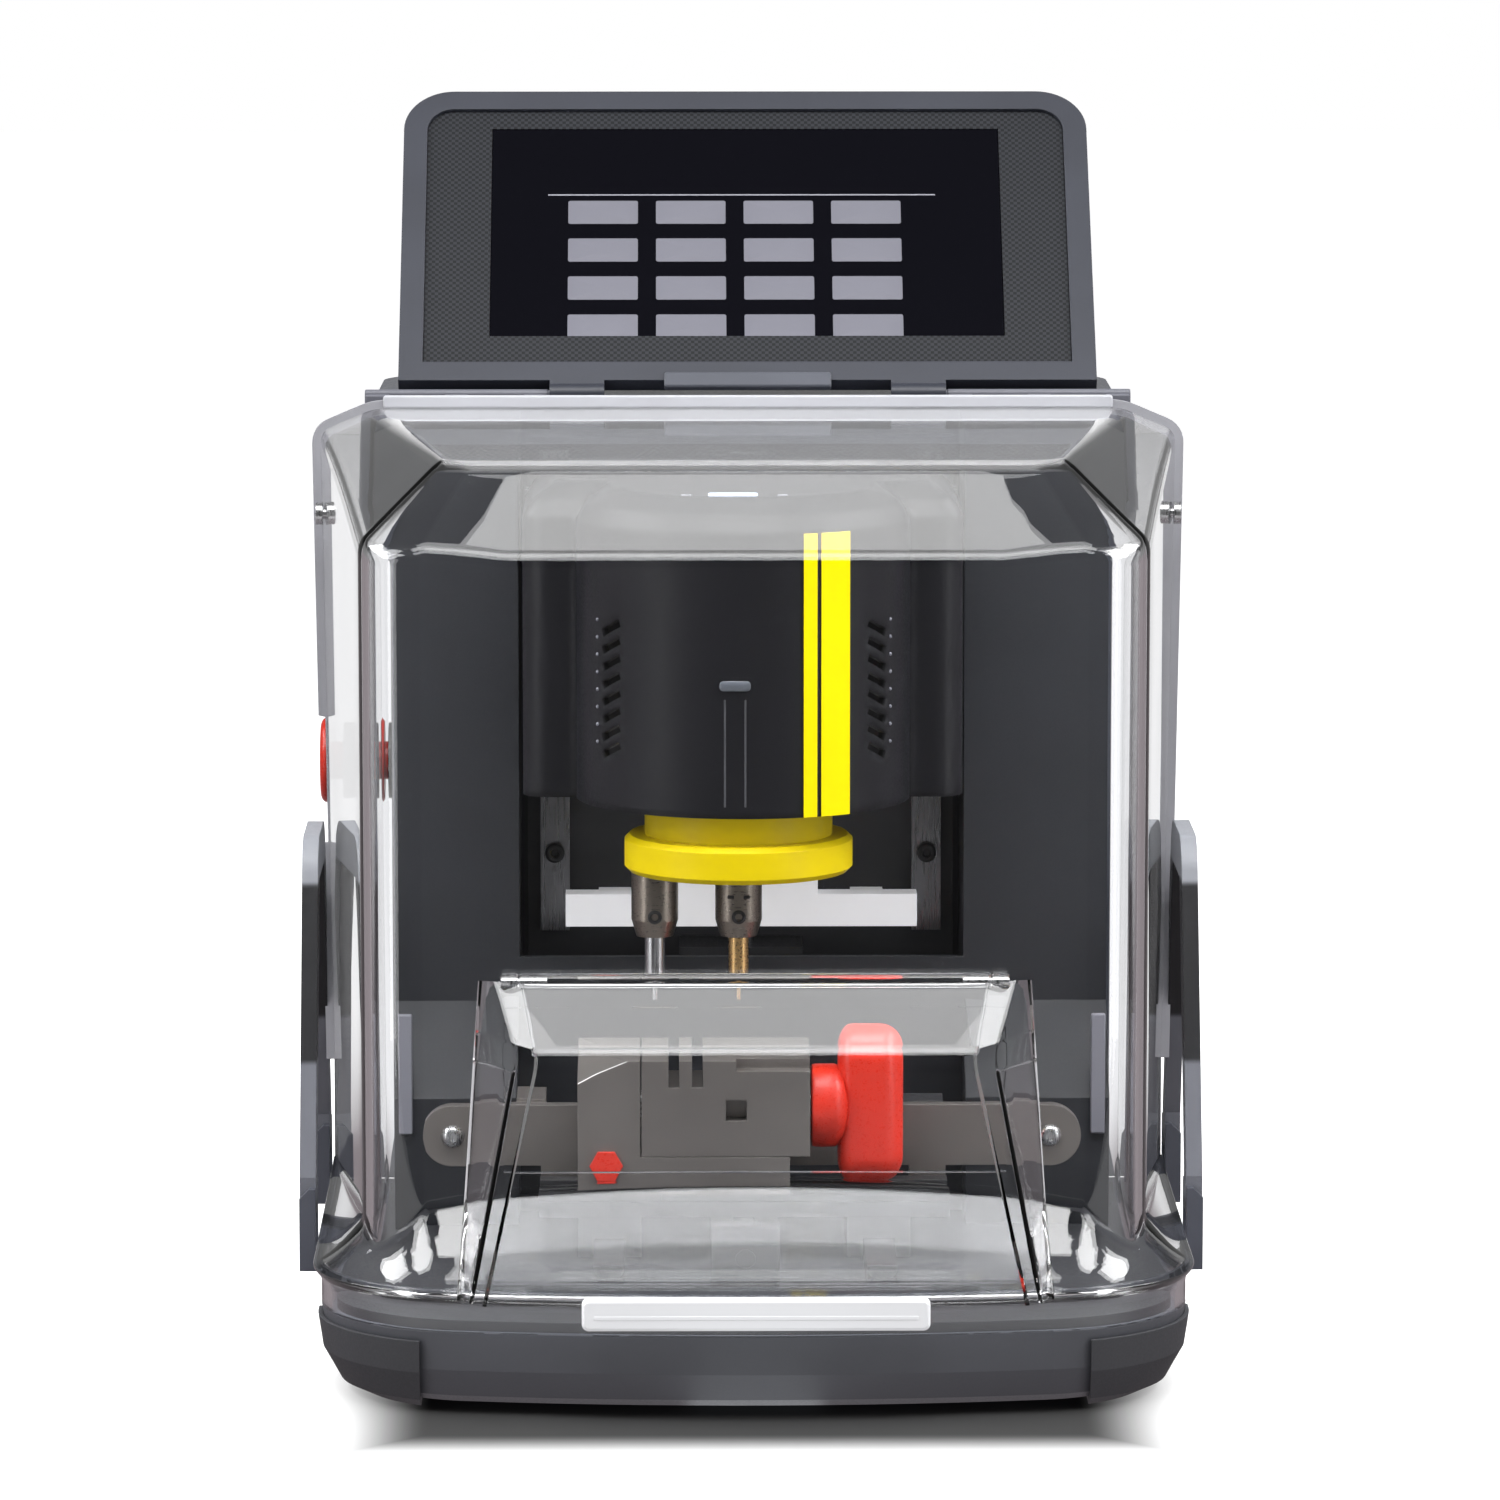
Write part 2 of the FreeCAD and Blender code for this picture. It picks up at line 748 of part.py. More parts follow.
def handle():
    """Right-hand folding carry handle: two legs with round knuckles that lean to a short grip."""
    half = handle_leg / 2
    foot = handle_pivot_z
    bend = bracket_top + handle_bend
    middle = (handle_front_y + handle_rear_y) / 2
    under = handle_top - handle_bar
    outline = []
    for leg_y, side in ((handle_front_y, -1), (handle_rear_y, 1)):
        outer = leg_y + side * half
        inner = leg_y - side * half
        grip_out = middle + side * handle_grip_half
        grip_in = grip_out - side * handle_leg
        leg = [V(handle_in, outer, foot), V(handle_in, outer, bend), V(handle_in, grip_out, handle_top)]
        leg += [V(handle_in, leg_edge(inner, grip_in, under), under), V(handle_in, inner, bend),
                V(handle_in, inner, foot)]
        outline.append(leg)
    front, rear = outline
    grip = prism(front[:3] + rear[2::-1] + rear[:2:-1] + front[3:], V(handle_thick, 0, 0))
    across = [e for e in grip.Edges if abs(e.tangentAt(0).x) > 0.9]
    grip = grip.makeFillet(handle_round, [e for e in across if e.CenterOfMass.z > handle_top - cut_past])
    for leg_y in (handle_front_y, handle_rear_y):
        knuckle = rod(handle_thick / 2, V(handle_x, leg_y - half, foot), V(handle_x, leg_y + half, foot))
        bore = rod(handle_pin_r + run_gap, V(handle_x, leg_y - half - cut_past, foot),
                   V(handle_x, leg_y + half + cut_past, foot))
        grip = join([grip, knuckle]).cut(bore)
    return grip


def handle_right():
    """Handle on the right side."""
    return handle()


def handle_left():
    """Handle on the left side."""
    return both_sides(handle())[1]


def housing_plan(inset, z):
    """Plan of the rear housing, with its rear corners rounded."""
    half = housing_half - inset
    plan = rounded_plan(half, inset - housing_rear, -housing_front, housing_round - inset, 0)
    plan.rotate(V(0, 0, 0), V(0, 0, 1), 180)
    plan.translate(V(0, 0, z))
    return plan


def housing_form(inset, past):
    """Solid inside the housing's outer face, its shoulders sloped like the hood's."""
    low = tray_top - past
    draw = top_draw_side - hood_flange
    bend = hood_top - (hood_top - chamfer_low) * draw / top_draw_side
    walls = Part.Face(housing_plan(inset, low)).extrude(V(0, 0, bend - low))
    top = housing_plan(draw + inset * inner_chamfer, hood_top - inset)
    shoulder = Part.makeLoft([housing_plan(inset, bend), top], True, True)
    return join([walls, shoulder])


def rear_housing():
    """Moulded rear cover, open to the chamber, with vents, board bosses and cut-outs."""
    inner = housing_form(housing_wall, cut_past)
    mouth = inner.copy()
    mouth.translate(V(0, -cut_past, 0))
    shell = housing_form(0, 0).cut(inner).cut(mouth)
    wall_y = housing_rear - housing_wall
    for count in range(vent_count):
        low = vent_low + count * vent_pitch
        for middle in (-vent_width / 2 - vent_pitch, vent_width / 2 + vent_pitch):
            shell = shell.cut(box(middle - vent_width / 2, middle + vent_width / 2, wall_y - cut_past,
                                  housing_rear + cut_past, low, low + vent_height))
    inlet_across = inlet_half - inlet_flange
    inlet_up = inlet_high_half - inlet_flange
    shell = shell.cut(box(inlet_x - inlet_across, inlet_x + inlet_across, wall_y - cut_past,
                          housing_rear + cut_past, inlet_z - inlet_up, inlet_z + inlet_up))
    shell = shell.cut(rod(stop_stem_r + touch_gap, V(-housing_half - cut_past, stop_y, stop_z),
                          V(housing_wall + cut_past - housing_half, stop_y, stop_z)))
    bosses = []
    for x in (-board_half + boss_r, board_half - boss_r):
        for z in (board_low + boss_r, board_low + board_high - boss_r):
            bosses.append(rod(boss_r, V(x, wall_y - board_stand, z), V(x, wall_y + housing_wall / 2, z)))
    return join([shell] + bosses)


def stop_collar():
    """Collar of the stop button on the housing's left side."""
    return tube(stop_collar_r, stop_stem_r + run_gap, V(-housing_half, stop_y, stop_z),
                V(-housing_half - stop_collar_thick, stop_y, stop_z))


def stop_button():
    """Mushroom button with a domed cap and a stem, as one turned shape."""
    edge = [V(0, 0, 0), V(stop_cap_r - stop_dome * 2, 0, 0), V(stop_cap_r - stop_dome / 2, 0, stop_dome / 2),
            V(stop_cap_r, 0, stop_dome), V(stop_cap_r, 0, stop_cap_thick), V(stop_stem_r, 0, stop_cap_thick),
            V(stop_stem_r, 0, stop_stem_length), V(0, 0, stop_stem_length)]
    button = Part.Face(Part.makePolygon(edge + edge[:1])).revolve(V(0, 0, 0), V(0, 0, 1), 360)
    button.rotate(V(0, 0, 0), V(0, 1, 0), 90)
    button.translate(V(-stop_out, stop_y, stop_z))
    return button


def pillar_profile(shift, low, top):
    """Side view of a pillar and its sloped shelf, moved back by a shift."""
    return [V(0, pillar_front + shift, top), V(0, pillar_front + shift, pillar_low),
            V(0, shelf_front + shift, shelf_low), V(0, shelf_front + shift, low),
            V(0, liner_rear + shift, low), V(0, liner_rear + shift, top)]


def pillar(x0, x1):
    """Hollow pillar between two sides, trimmed to the inside of the hood."""
    fit = hood_wall + liner_gap
    outer = prism(pillar_profile(0, deck_top, hood_top), V(x1 - x0, 0, 0))
    outer.translate(V(x0, 0, 0))
    clear = V(x1 - x0 - 2 * liner_wall, 0, 0)
    inner = prism(pillar_profile(liner_wall, deck_top - cut_past, hood_top), clear)
    inner.translate(V(x0 + liner_wall, 0, 0))
    inner = inner.common(hood_form(fit + liner_wall, liner_wall))
    return outer.common(hood_form(fit, 0)).cut(inner)


def chamber_liner():
    """Dark inner wall: two pillars with sloped shelves, a sill and a back wall."""
    left = head_x - recess_half
    right = head_x + recess_half
    top = hood_top - hood_wall - liner_gap
    sill = box(left - liner_wall, right + liner_wall, pillar_front, pillar_front + liner_wall,
               deck_top, sill_top)
    back = box(left - liner_wall, right + liner_wall, liner_rear - liner_wall, liner_rear, deck_top, top)
    liner = join([pillar(-liner_half, left), pillar(right, liner_half), sill, back])
    hole = rod(y_screw_r * 2, V(head_x, pillar_front - cut_past, y_screw_z),
               V(head_x, pillar_front + liner_wall + cut_past, y_screw_z))
    return liner.cut(hole)


def column():
    """Upright frame plate with a window for the head's motor."""
    plate = box(head_x - column_half, head_x + column_half, column_front, column_front + column_thick,
                deck_top, column_top)
    window = box(head_x - column_window, head_x + column_window, column_front - cut_past,
                 column_front + column_thick + cut_past, deck_top - cut_past, head_motor_top)
    return plate.cut(window)


def rail_section(width, high):
    """Section of a grooved guide rail, as pairs across and up."""
    half = width / 2
    waist = half - rail_groove
    right = [(half, 0), (half, high * 0.4), (waist, high * 0.55), (half, high * 0.7), (half, high)]
    return right + [(-across, up) for across, up in reversed(right)]


def z_rails():
    """Upright guide rails on the column."""
    rails = []
    for x in (head_x - head_rail_out, head_x + head_rail_out):
        points = [V(x + a, column_front - u, head_rail_low) for a, u in rail_section(rail_wide, rail_high)]
        rails.append(prism(points, V(0, 0, head_rail_top - head_rail_low)))
    return Part.makeCompound(rails)


def y_rails():
    """Guide rails along the deck."""
    rails = []
    for x in (head_x - y_rail_out, head_x + y_rail_out):
        points = [V(x + a, y_rail_front, deck_top + u) for a, u in rail_section(rail_wide, y_rail_high)]
        rails.append(prism(points, V(0, y_rail_rear - y_rail_front, 0)))
    return Part.makeCompound(rails)


def x_rails():
    """Guide rails along the saddle."""
    rails = []
    for y in (x_rail_front, x_rail_rear):
        points = [V(head_x - saddle_half, y + a, saddle_top + u)
                  for a, u in rail_section(x_rail_wide, x_rail_high)]
        rails.append(prism(points, V(2 * saddle_half, 0, 0)))
    return Part.makeCompound(rails)


def light_bar():
    """White lamp bar with a raised middle, on two legs from the column."""
    rear = lamp_front + lamp_high
    bar = box(head_x - lamp_half, head_x + lamp_half, lamp_front, rear, lamp_low, lamp_low + lamp_high)
    middle = box(lamp_block_left, lamp_block_right, lamp_front, rear, lamp_low, lamp_block_top)
    legs = []
    for x in (head_x - lamp_half + lamp_high, head_x + lamp_half - 2 * lamp_high):
        legs.append(box(x, x + lamp_high, lamp_front + lamp_round, column_front, lamp_low + lamp_round,
                        lamp_low + lamp_high - lamp_round))
    return join([bar, middle] + legs)


def round_motor(radius, start, end, foot):
    """Small stepper: turned can, front flange and a bore for the screw's end."""
    along = (end - start).normalize()
    can = rod(radius, start, end)
    return join([can, foot]).cut(rod(y_screw_r + run_gap, start - along * cut_past, start + along * radius))


def axis_motors():
    """Steppers of the head and of the table's Y drive."""
    square = box(head_x - head_motor_half, head_x + head_motor_half, screw_y - head_motor_half,
                 screw_y + head_motor_half, head_motor_low, head_motor_top)
    square = square.makeChamfer(liner_wall, [e for e in square.Edges if abs(e.tangentAt(0).z) > 0.9])
    flange = box(head_x - column_window - liner_wall, head_x + column_window + liner_wall,
                 screw_y - head_motor_half, column_front, head_motor_top, head_motor_top + liner_wall)
    bore = rod(screw_r + run_gap, V(head_x, screw_y, head_motor_top - bearing_thick),
               V(head_x, screw_y, head_motor_top + liner_wall + cut_past))
    head_motor = join([square, flange]).cut(bore)
    foot = box(head_x - y_motor_r, head_x + y_motor_r, y_motor_front, y_motor_front + liner_wall,
               deck_top, y_screw_z)
    y_motor = round_motor(y_motor_r, V(head_x, y_motor_front, y_screw_z),
                          V(head_x, y_motor_front + y_motor_long, y_screw_z), foot)
    return Part.makeCompound([head_motor, y_motor])


def screw_bearings():
    """Bearing blocks: the head screw's upper end and the Y screw's front end."""
    upper = box(head_x - bearing_half, head_x + bearing_half, screw_y - bearing_half + liner_wall,
                column_front, head_rail_top - bearing_thick, head_rail_top)
    upper = upper.cut(rod(screw_r + run_gap, V(head_x, screw_y, head_rail_low),
                          V(head_x, screw_y, head_rail_top + cut_past)))
    front = y_screw_front - bearing_thick
    lower = box(head_x - bearing_half, head_x + bearing_half, front, y_screw_front, deck_top,
                y_screw_z + bearing_half)
    lower = lower.cut(rod(y_screw_r + run_gap, V(head_x, front - cut_past, y_screw_z),
                          V(head_x, y_screw_front + cut_past, y_screw_z)))
    return Part.makeCompound([upper, lower])


def z_screw():
    """Screw that lifts the head."""
    return rod(screw_r, V(head_x, screw_y, head_motor_top - bearing_thick + touch_gap),
               V(head_x, screw_y, head_rail_top))


def y_screw():
    """Screw that moves the saddle."""
    return rod(y_screw_r, V(head_x, y_screw_front - bearing_thick, y_screw_z),
               V(head_x, y_motor_front + y_motor_r - touch_gap, y_screw_z))


def x_screw():
    """Screw that moves the table."""
    return rod(x_screw_r, V(x_screw_left - bearing_thick, x_screw_y, x_screw_z),
               V(x_motor_left + x_motor_r - touch_gap, x_screw_y, x_screw_z))


def head_blocks():
    """Linear blocks on the head rails."""
    blocks = []
    for x in (head_x - head_rail_out, head_x + head_rail_out):
        slot = rail_wide / 2 + slide_gap
        for low in (block_low, block_low + block_step):
            block = box(x - block_wide / 2, x + block_wide / 2, block_front, block_front + block_high,
                        low, low + block_long)
            blocks.append(block.cut(box(x - slot, x + slot, rail_front - slide_gap, column_front,
                                        low - cut_past, low + block_long + cut_past)))
    return Part.makeCompound(blocks)


def head_plate():
    """Plate on the head blocks, with the nut of the lifting screw behind it."""
    plate = box(head_x - head_half, head_x + head_half, plate_front, plate_front + plate_thick,
                plate_low, plate_top)
    nut = box(head_x - nut_half, head_x + nut_half, plate_front + plate_thick, column_front - block_clear,
              nut_low, nut_low + nut_high)
    bore = rod(screw_r + thread_gap, V(head_x, screw_y, plate_low), V(head_x, screw_y, plate_top))
    return join([plate, nut]).cut(bore)


def head_form(inset, low):
    """Box with a round bulge in front, the upper edges of both broken by two slopes like a soft round."""
    top = head_top - inset
    draw = head_round - inset * inner_head
    bends = [(0, draw), (draw * head_bend, draw * (1 - head_bend) ** 2), (draw, 0)]
    plans = [rounded_plan(head_half - inset, head_flat_y + inset, plate_front, head_edge - inset, low)]
    edge = [V(0, bulge_y, low)]
    edge.append(V(bulge_r - inset, bulge_y, low))
    for shift, down in bends:
        plans.append(rounded_plan(head_half - inset - shift, head_flat_y + inset + shift, plate_front,
                                  head_edge - inset, top - down))
        edge.append(V(bulge_r - inset - shift, bulge_y, top - down))
    edge.append(V(0, bulge_y, top))
    square = Part.makeLoft(plans, True, True)
    bulge = Part.Face(Part.makePolygon(edge + edge[:1])).revolve(V(0, bulge_y, 0), V(0, 0, 1), 360)
    form = join([square, bulge])
    form.translate(V(head_x, 0, 0))
    return form


def louvre(count, side):
    """Slanted slot through the bulge's wall."""
    slot = box(-louvre_wide / 2, louvre_wide / 2, -bulge_r - cut_past, -bulge_r + head_wall * 2.5,
               -louvre_high / 2, louvre_high / 2)
    slot.rotate(V(0, 0, 0), V(0, 1, 0), side * louvre_slant)
    slot.rotate(V(0, 0, 0), V(0, 0, 1), side * louvre_turn)
    slot.translate(V(head_x, bulge_y, louvre_low + count * louvre_pitch))
    return slot


def head_cover():
    """Moulded cover of the head, open below and behind, with louvres each side of the bulge."""
    cover = head_form(0, head_low).cut(head_form(head_wall, head_low - cut_past))
    rear = box(head_x - head_half + head_wall, head_x + head_half - head_wall, plate_front - cut_past * 2,
               plate_front + cut_past, head_low - cut_past, head_top - head_round)
    cover = cover.cut(rear)
    slots = [louvre(count, side) for count in range(louvre_count) for side in (-1, 1)]
    return cover.cut(Part.makeCompound(slots))


def head_stripes():
    """Two applied stripes down the bulge."""
    low = head_low + touch_gap
    top = head_top - head_round
    band = tube(bulge_r + stripe_thick, bulge_r + run_gap, V(head_x, bulge_y, low), V(head_x, bulge_y, top))
    wide = head_x + stripe_mid + stripe_gap / 2
    thin = head_x + stripe_mid - stripe_gap / 2
    front = bulge_y - bulge_r - cut_past
    stripes = [band.common(box(wide, wide + stripe_wide, front, bulge_y, low, top)),
               band.common(box(thin - stripe_thin, thin, front, bulge_y, low, top))]
    return Part.makeCompound([solid_of(stripe) for stripe in stripes])


def spindle_point(z):
    """Point on the spindle's axis."""
    return V(spindle_x, spindle_y, z)


def spindle_housing():
    """Drum and tube round the spindle, with the arm that the plate carries."""
    drum = rod(drum_r, spindle_point(ring_low), spindle_point(drum_top))
    upper = rod(tube_r, spindle_point(drum_top), spindle_point(tube_top))
    arm = box(spindle_x - arm_half, spindle_x + arm_half, spindle_y, plate_front, drum_top,
              drum_top + arm_thick)
    bore = rod(shaft_r + run_gap, spindle_point(ring_low - cut_past), spindle_point(tube_top + cut_past))
    stem = rod(probe_stem_r + run_gap, spindle_point(ring_low - cut_past) + V(probe_dx, 0, 0),
               spindle_point(ring_low + probe_stem_up) + V(probe_dx, 0, 0))
    return join([drum, upper, arm]).cut(bore).cut(stem)


def guard_ring():
    """Bright ring round the drum, its edges broken."""
    ring = rod(ring_r, spindle_point(ring_low), spindle_point(ring_top))
    ring = ring.makeChamfer(ring_round, [e for e in ring.Edges if e.Closed and e.Length > ring_r])
    return ring.cut(rod(drum_r + run_gap, spindle_point(ring_low - cut_past),
                        spindle_point(ring_top + cut_past)))


def nose(radius, x_shift, high, bore, deep):
    """Turned holder with a tapered nose and a blind bore for its tool."""
    low = spindle_point(collet_low) + V(x_shift, 0, 0)
    cone = Part.makeCone(cutter_r + head_wall, radius, collet_nose, low, V(0, 0, 1))
    body = rod(radius, low + V(0, 0, collet_nose), V(low.x, low.y, high))
    return join([cone, body]).cut(rod(bore, low - V(0, 0, cut_past), low + V(0, 0, deep)))


def probe_holder():
    """Holder of the probe, with its stem up in the drum."""
    holder = nose(collet_r, probe_dx, ring_low - touch_gap, cutter_r + run_gap, probe_stem_up)
    stem = rod(probe_stem_r, spindle_point(ring_low - touch_gap) + V(probe_dx, 0, 0),
               spindle_point(ring_low + probe_stem_up - touch_gap) + V(probe_dx, 0, 0))
    return join([holder, stem])


def tool(x_shift, neck, tip_r):
    """Round shank, tapered neck and slim tip, as one turned shape."""
    top = collet_low + probe_stem_up - touch_gap
    outline = [V(0, 0, top), V(cutter_r, 0, top), V(cutter_r, 0, neck), V(tip_r, 0, neck - cutter_r),
               V(tip_r, 0, cutter_tip), V(0, 0, cutter_tip)]
    shape = Part.Face(Part.makePolygon(outline + outline[:1])).revolve(V(0, 0, 0), V(0, 0, 1), 360)
    shape.translate(V(spindle_x + x_shift, spindle_y, 0))
    return shape


def probe():
    """Steel probe that finds the key's surface."""
    return tool(probe_dx, probe_neck, probe_tip_r)


def cutter():
    """Coated cutter with a slim tip."""
    return tool(0, cutter_neck, cutter_tip_r)


def cutter_collet():
    """Collet on the spindle's lower end."""
    return nose(collet_r, 0, ring_low - swing_gap, cutter_r + run_gap, probe_stem_up)


def pulley(radius, x, y):
    """Flanged belt pulley."""
    drum = rod(radius, V(x, y, pulley_low), V(x, y, pulley_low + pulley_wide))
    rims = []
    for low in (pulley_low, pulley_low + pulley_wide - pulley_flange):
        rims.append(rod(radius + pulley_lip, V(x, y, low), V(x, y, low + pulley_flange)))
    return join([drum] + rims)


def spindle_shaft():
    """Spindle shaft with its belt pulley."""
    shaft = rod(shaft_r, spindle_point(ring_low - swing_gap), spindle_point(shaft_top))
    return join([shaft, pulley(spindle_pulley_r, spindle_x, spindle_y)])


def motor_pulley():
    """Motor shaft with its belt pulley."""
    shaft = rod(motor_shaft_r, V(spindle_x, motor_y, motor_top - motor_shaft_deep),
                V(spindle_x, motor_y, pulley_low + pulley_wide))
    return join([shaft, pulley(motor_pulley_r, spindle_x, motor_y)])


def spindle_motor():
    """Motor can behind the spindle, standing on the arm."""
    low = drum_top + arm_thick
    can = rod(motor_r, V(spindle_x, motor_y, low), V(spindle_x, motor_y, motor_top))
    bore = rod(motor_shaft_r + run_gap, V(spindle_x, motor_y, motor_top - motor_shaft_deep - touch_gap),
               V(spindle_x, motor_y, motor_top + cut_past))
    return can.cut(bore)


def belt_loop(grow):
    """Open-belt outline round both pulleys, at the belt's lower edge."""
    z = pulley_low + pulley_flange + belt_gap
    front = spindle_pulley_r + grow
    rear = motor_pulley_r + grow
    lean = math.asin((front - rear) / (motor_y - spindle_y))
    side = math.cos(lean)
    back = math.sin(lean)
    right_front = V(spindle_x + front * side, spindle_y + front * back, z)
    right_rear = V(spindle_x + rear * side, motor_y + rear * back, z)
    left_front = V(spindle_x - front * side, spindle_y + front * back, z)
    left_rear = V(spindle_x - rear * side, motor_y + rear * back, z)
    return Part.Face(Part.Wire([
        arc(left_front, V(spindle_x, spindle_y - front, z), right_front), line(right_front, right_rear),
        arc(right_rear, V(spindle_x, motor_y + rear, z), left_rear), line(left_rear, left_front)]))


def drive_belt():
    """Flat belt between the motor and the spindle."""
    band = belt_loop(belt_gap + belt_thick).cut(belt_loop(belt_gap))
    return band.extrude(V(0, 0, pulley_wide - 2 * pulley_flange - 2 * belt_gap)).Solids[0]


def saddle_plate():
    """Plate that slides along Y, with the nut of its screw below."""
    plate = box(head_x - saddle_half, head_x + saddle_half, saddle_front, saddle_rear, saddle_low,
                saddle_top)
    middle = (saddle_front + saddle_rear) / 2
    nut = box(head_x - bearing_half, head_x + bearing_half, middle - bearing_thick, middle + bearing_thick,
              y_screw_z - y_screw_r * 2, saddle_low)
    bore = rod(y_screw_r + thread_gap, V(head_x, saddle_front - cut_past, y_screw_z),
               V(head_x, saddle_rear + cut_past, y_screw_z))
    return join([plate, nut]).cut(bore)


def saddle_blocks():
    """Linear blocks under the saddle."""
    blocks = []
    slot = rail_wide / 2 + slide_gap
    for x in (head_x - y_rail_out, head_x + y_rail_out):
        for front in (saddle_front + cut_past, saddle_rear - cut_past - small_block_long):
            block = box(x - block_wide / 2, x + block_wide / 2, front, front + small_block_long,
                        saddle_low - small_block_high, saddle_low)
            blocks.append(block.cut(box(x - slot, x + slot, front - cut_past,
                                        front + small_block_long + cut_past,
                                        deck_top, deck_top + y_rail_high + slide_gap)))
    return Part.makeCompound(blocks)


def cross_beam():
    """Steel beam behind the clamp, with rounded ears, feet on the saddle and a screw bearing."""
    rear = beam_front + beam_thick
    middle = (beam_low + beam_top) / 2
    bar = box(beam_ear - beam_half, beam_half - beam_ear, beam_front, rear, beam_low, beam_top)
    pieces = [bar]
    for x in (beam_ear - beam_half, beam_half - beam_ear):
        pieces.append(rod(beam_ear_r, V(x, beam_front, middle), V(x, rear, middle)))
    for x in (head_x - saddle_half, head_x + saddle_half - beam_foot):
        pieces.append(box(x, x + beam_foot, beam_front, rear, saddle_top, beam_low + cut_past))
    bearing = box(x_screw_left - bearing_thick, x_screw_left, rear, x_screw_y + bearing_half,
                  x_screw_z - bearing_half, x_screw_z + bearing_half)
    bearing = bearing.cut(rod(x_screw_r + run_gap,
                              V(x_screw_left - bearing_thick - cut_past, x_screw_y, x_screw_z),
                              V(x_screw_left + cut_past, x_screw_y, x_screw_z)))
    beam = join(pieces + [bearing])
    for x in (beam_ear - beam_half, beam_half - beam_ear):
        beam = beam.cut(rod(beam_hole_r, V(x, beam_front - cut_past, middle),
                            V(x, rear + cut_past, middle)))
    return beam


def x_motor():
    """Stepper of the table's X drive, on the rear of the beam."""
    rear = beam_front + beam_thick
    foot = box(x_motor_left, x_motor_left + liner_wall, rear, x_screw_y, x_screw_z - x_motor_r,
               x_screw_z + x_motor_r)
    return round_motor(x_motor_r, V(x_motor_left, x_screw_y, x_screw_z),
                       V(x_motor_left + x_motor_long, x_screw_y, x_screw_z), foot)


def table_plate():
    """Plate that slides along X, with an arm under the beam to its nut."""
    front = clamp_front + clamp_skirt_thick
    rear = beam_front - beam_thick / 2
    plate = box(table_left, table_right, front, rear, table_low, table_top)
    left = x_nut_x - x_nut_half
    right = x_nut_x + x_nut_half
    arm_low = saddle_top + cut_past
    arm_top = beam_low - cut_past
    nut_front = x_screw_y - x_nut_half
    nut_rear = x_screw_y + x_nut_half
    drop = box(left, right, rear - beam_thick / 2, rear, arm_low, table_top)
    arm = box(left, right, rear - beam_thick / 2, nut_rear, arm_low, arm_top)
    nut = box(left, right, nut_front, nut_rear, arm_low, x_screw_z + x_nut_half)
    bore = rod(x_screw_r + thread_gap, V(left - cut_past, x_screw_y, x_screw_z),
               V(right + cut_past, x_screw_y, x_screw_z))
    return join([plate, drop, arm, nut]).cut(bore)


def table_blocks():
    """Linear blocks under the table."""
    blocks = []
    wide = x_rail_wide / 2 + liner_wall
    slot = x_rail_wide / 2 + slide_gap
    for y in (x_rail_front, x_rail_rear):
        for left in (x_nut_x - x_nut_half - small_block_long - cut_past, x_nut_x + x_nut_half + cut_past):
            block = box(left, left + small_block_long, y - wide, y + wide, saddle_top + cut_past, table_low)
            blocks.append(block.cut(box(left - cut_past, left + small_block_long + cut_past,
                                        y - slot, y + slot,
                                        saddle_top, saddle_top + x_rail_high + slide_gap)))
    return Part.makeCompound(blocks)


def clamp_body():
    """Fixed jaw with a corner sloped away, the base that the moving jaw slides on, and a front skirt."""
    base_top = table_top + badge_thick * 2
    fixed = box(clamp_left, clamp_split - jaw_gap, clamp_front, clamp_rear, table_top, clamp_top)
    front = [V(clamp_left, clamp_front, clamp_top), V(clamp_left, clamp_front, clamp_top - clamp_slope),
             V(clamp_left + clamp_slope_run, clamp_front, clamp_top)]
    back = V(clamp_left, clamp_rear, clamp_top)
    fixed = fixed.cut(tetrahedron(front + [back]))
    base = box(clamp_split - jaw_gap, table_right, clamp_front, clamp_rear, table_top, base_top)
    skirt = box(clamp_left, table_right, clamp_front, clamp_front + clamp_skirt_thick - touch_gap,
                clamp_skirt, table_top)
    key = box(clamp_split - jaw_gap, table_right, knob_y - jaw_key_half, knob_y + jaw_key_half, base_top,
              base_top + jaw_key_high)
    bore = rod(clamp_screw_r + thread_gap, V(clamp_split - clamp_screw_deep - cut_past, knob_y, knob_z),
               V(clamp_split + cut_past, knob_y, knob_z))
    return join([fixed, base, skirt, key]).cut(bore)


def clamp_jaw():
    """Moving jaw: key slots in its top, a step at its right and a window in its front."""
    low = table_top + badge_thick * 2 + slide_gap
    block = box(clamp_split, clamp_right, clamp_front, clamp_rear, low, clamp_top)
    window_left = clamp_split + jaw_window_left
    cuts = [box(clamp_split + jaw_step_left, clamp_right + cut_past, clamp_front - cut_past,
                knob_y - jaw_key_half, clamp_top - jaw_step_deep, clamp_top + cut_past),
            box(window_left, window_left + jaw_window, clamp_front - cut_past, clamp_front + jaw_window,
                jaw_window_z, jaw_window_z + jaw_window),
            box(clamp_split - cut_past, clamp_right + cut_past, knob_y - jaw_key_half - slide_gap,
                knob_y + jaw_key_half + slide_gap, low - cut_past, low + jaw_key_high),
            rod(clamp_screw_r + thread_gap, V(clamp_split - cut_past, knob_y, knob_z),
                V(clamp_right + cut_past, knob_y, knob_z))]
    for count in range(2):
        left = clamp_split + jaw_slot_first + count * jaw_slot_step
        cuts.append(box(left, left + jaw_slot_wide, clamp_front - cut_past, clamp_rear + cut_past,
                        clamp_top - jaw_slot_deep, clamp_top + cut_past))
    for shape in cuts:
        block = block.cut(shape)
    return block


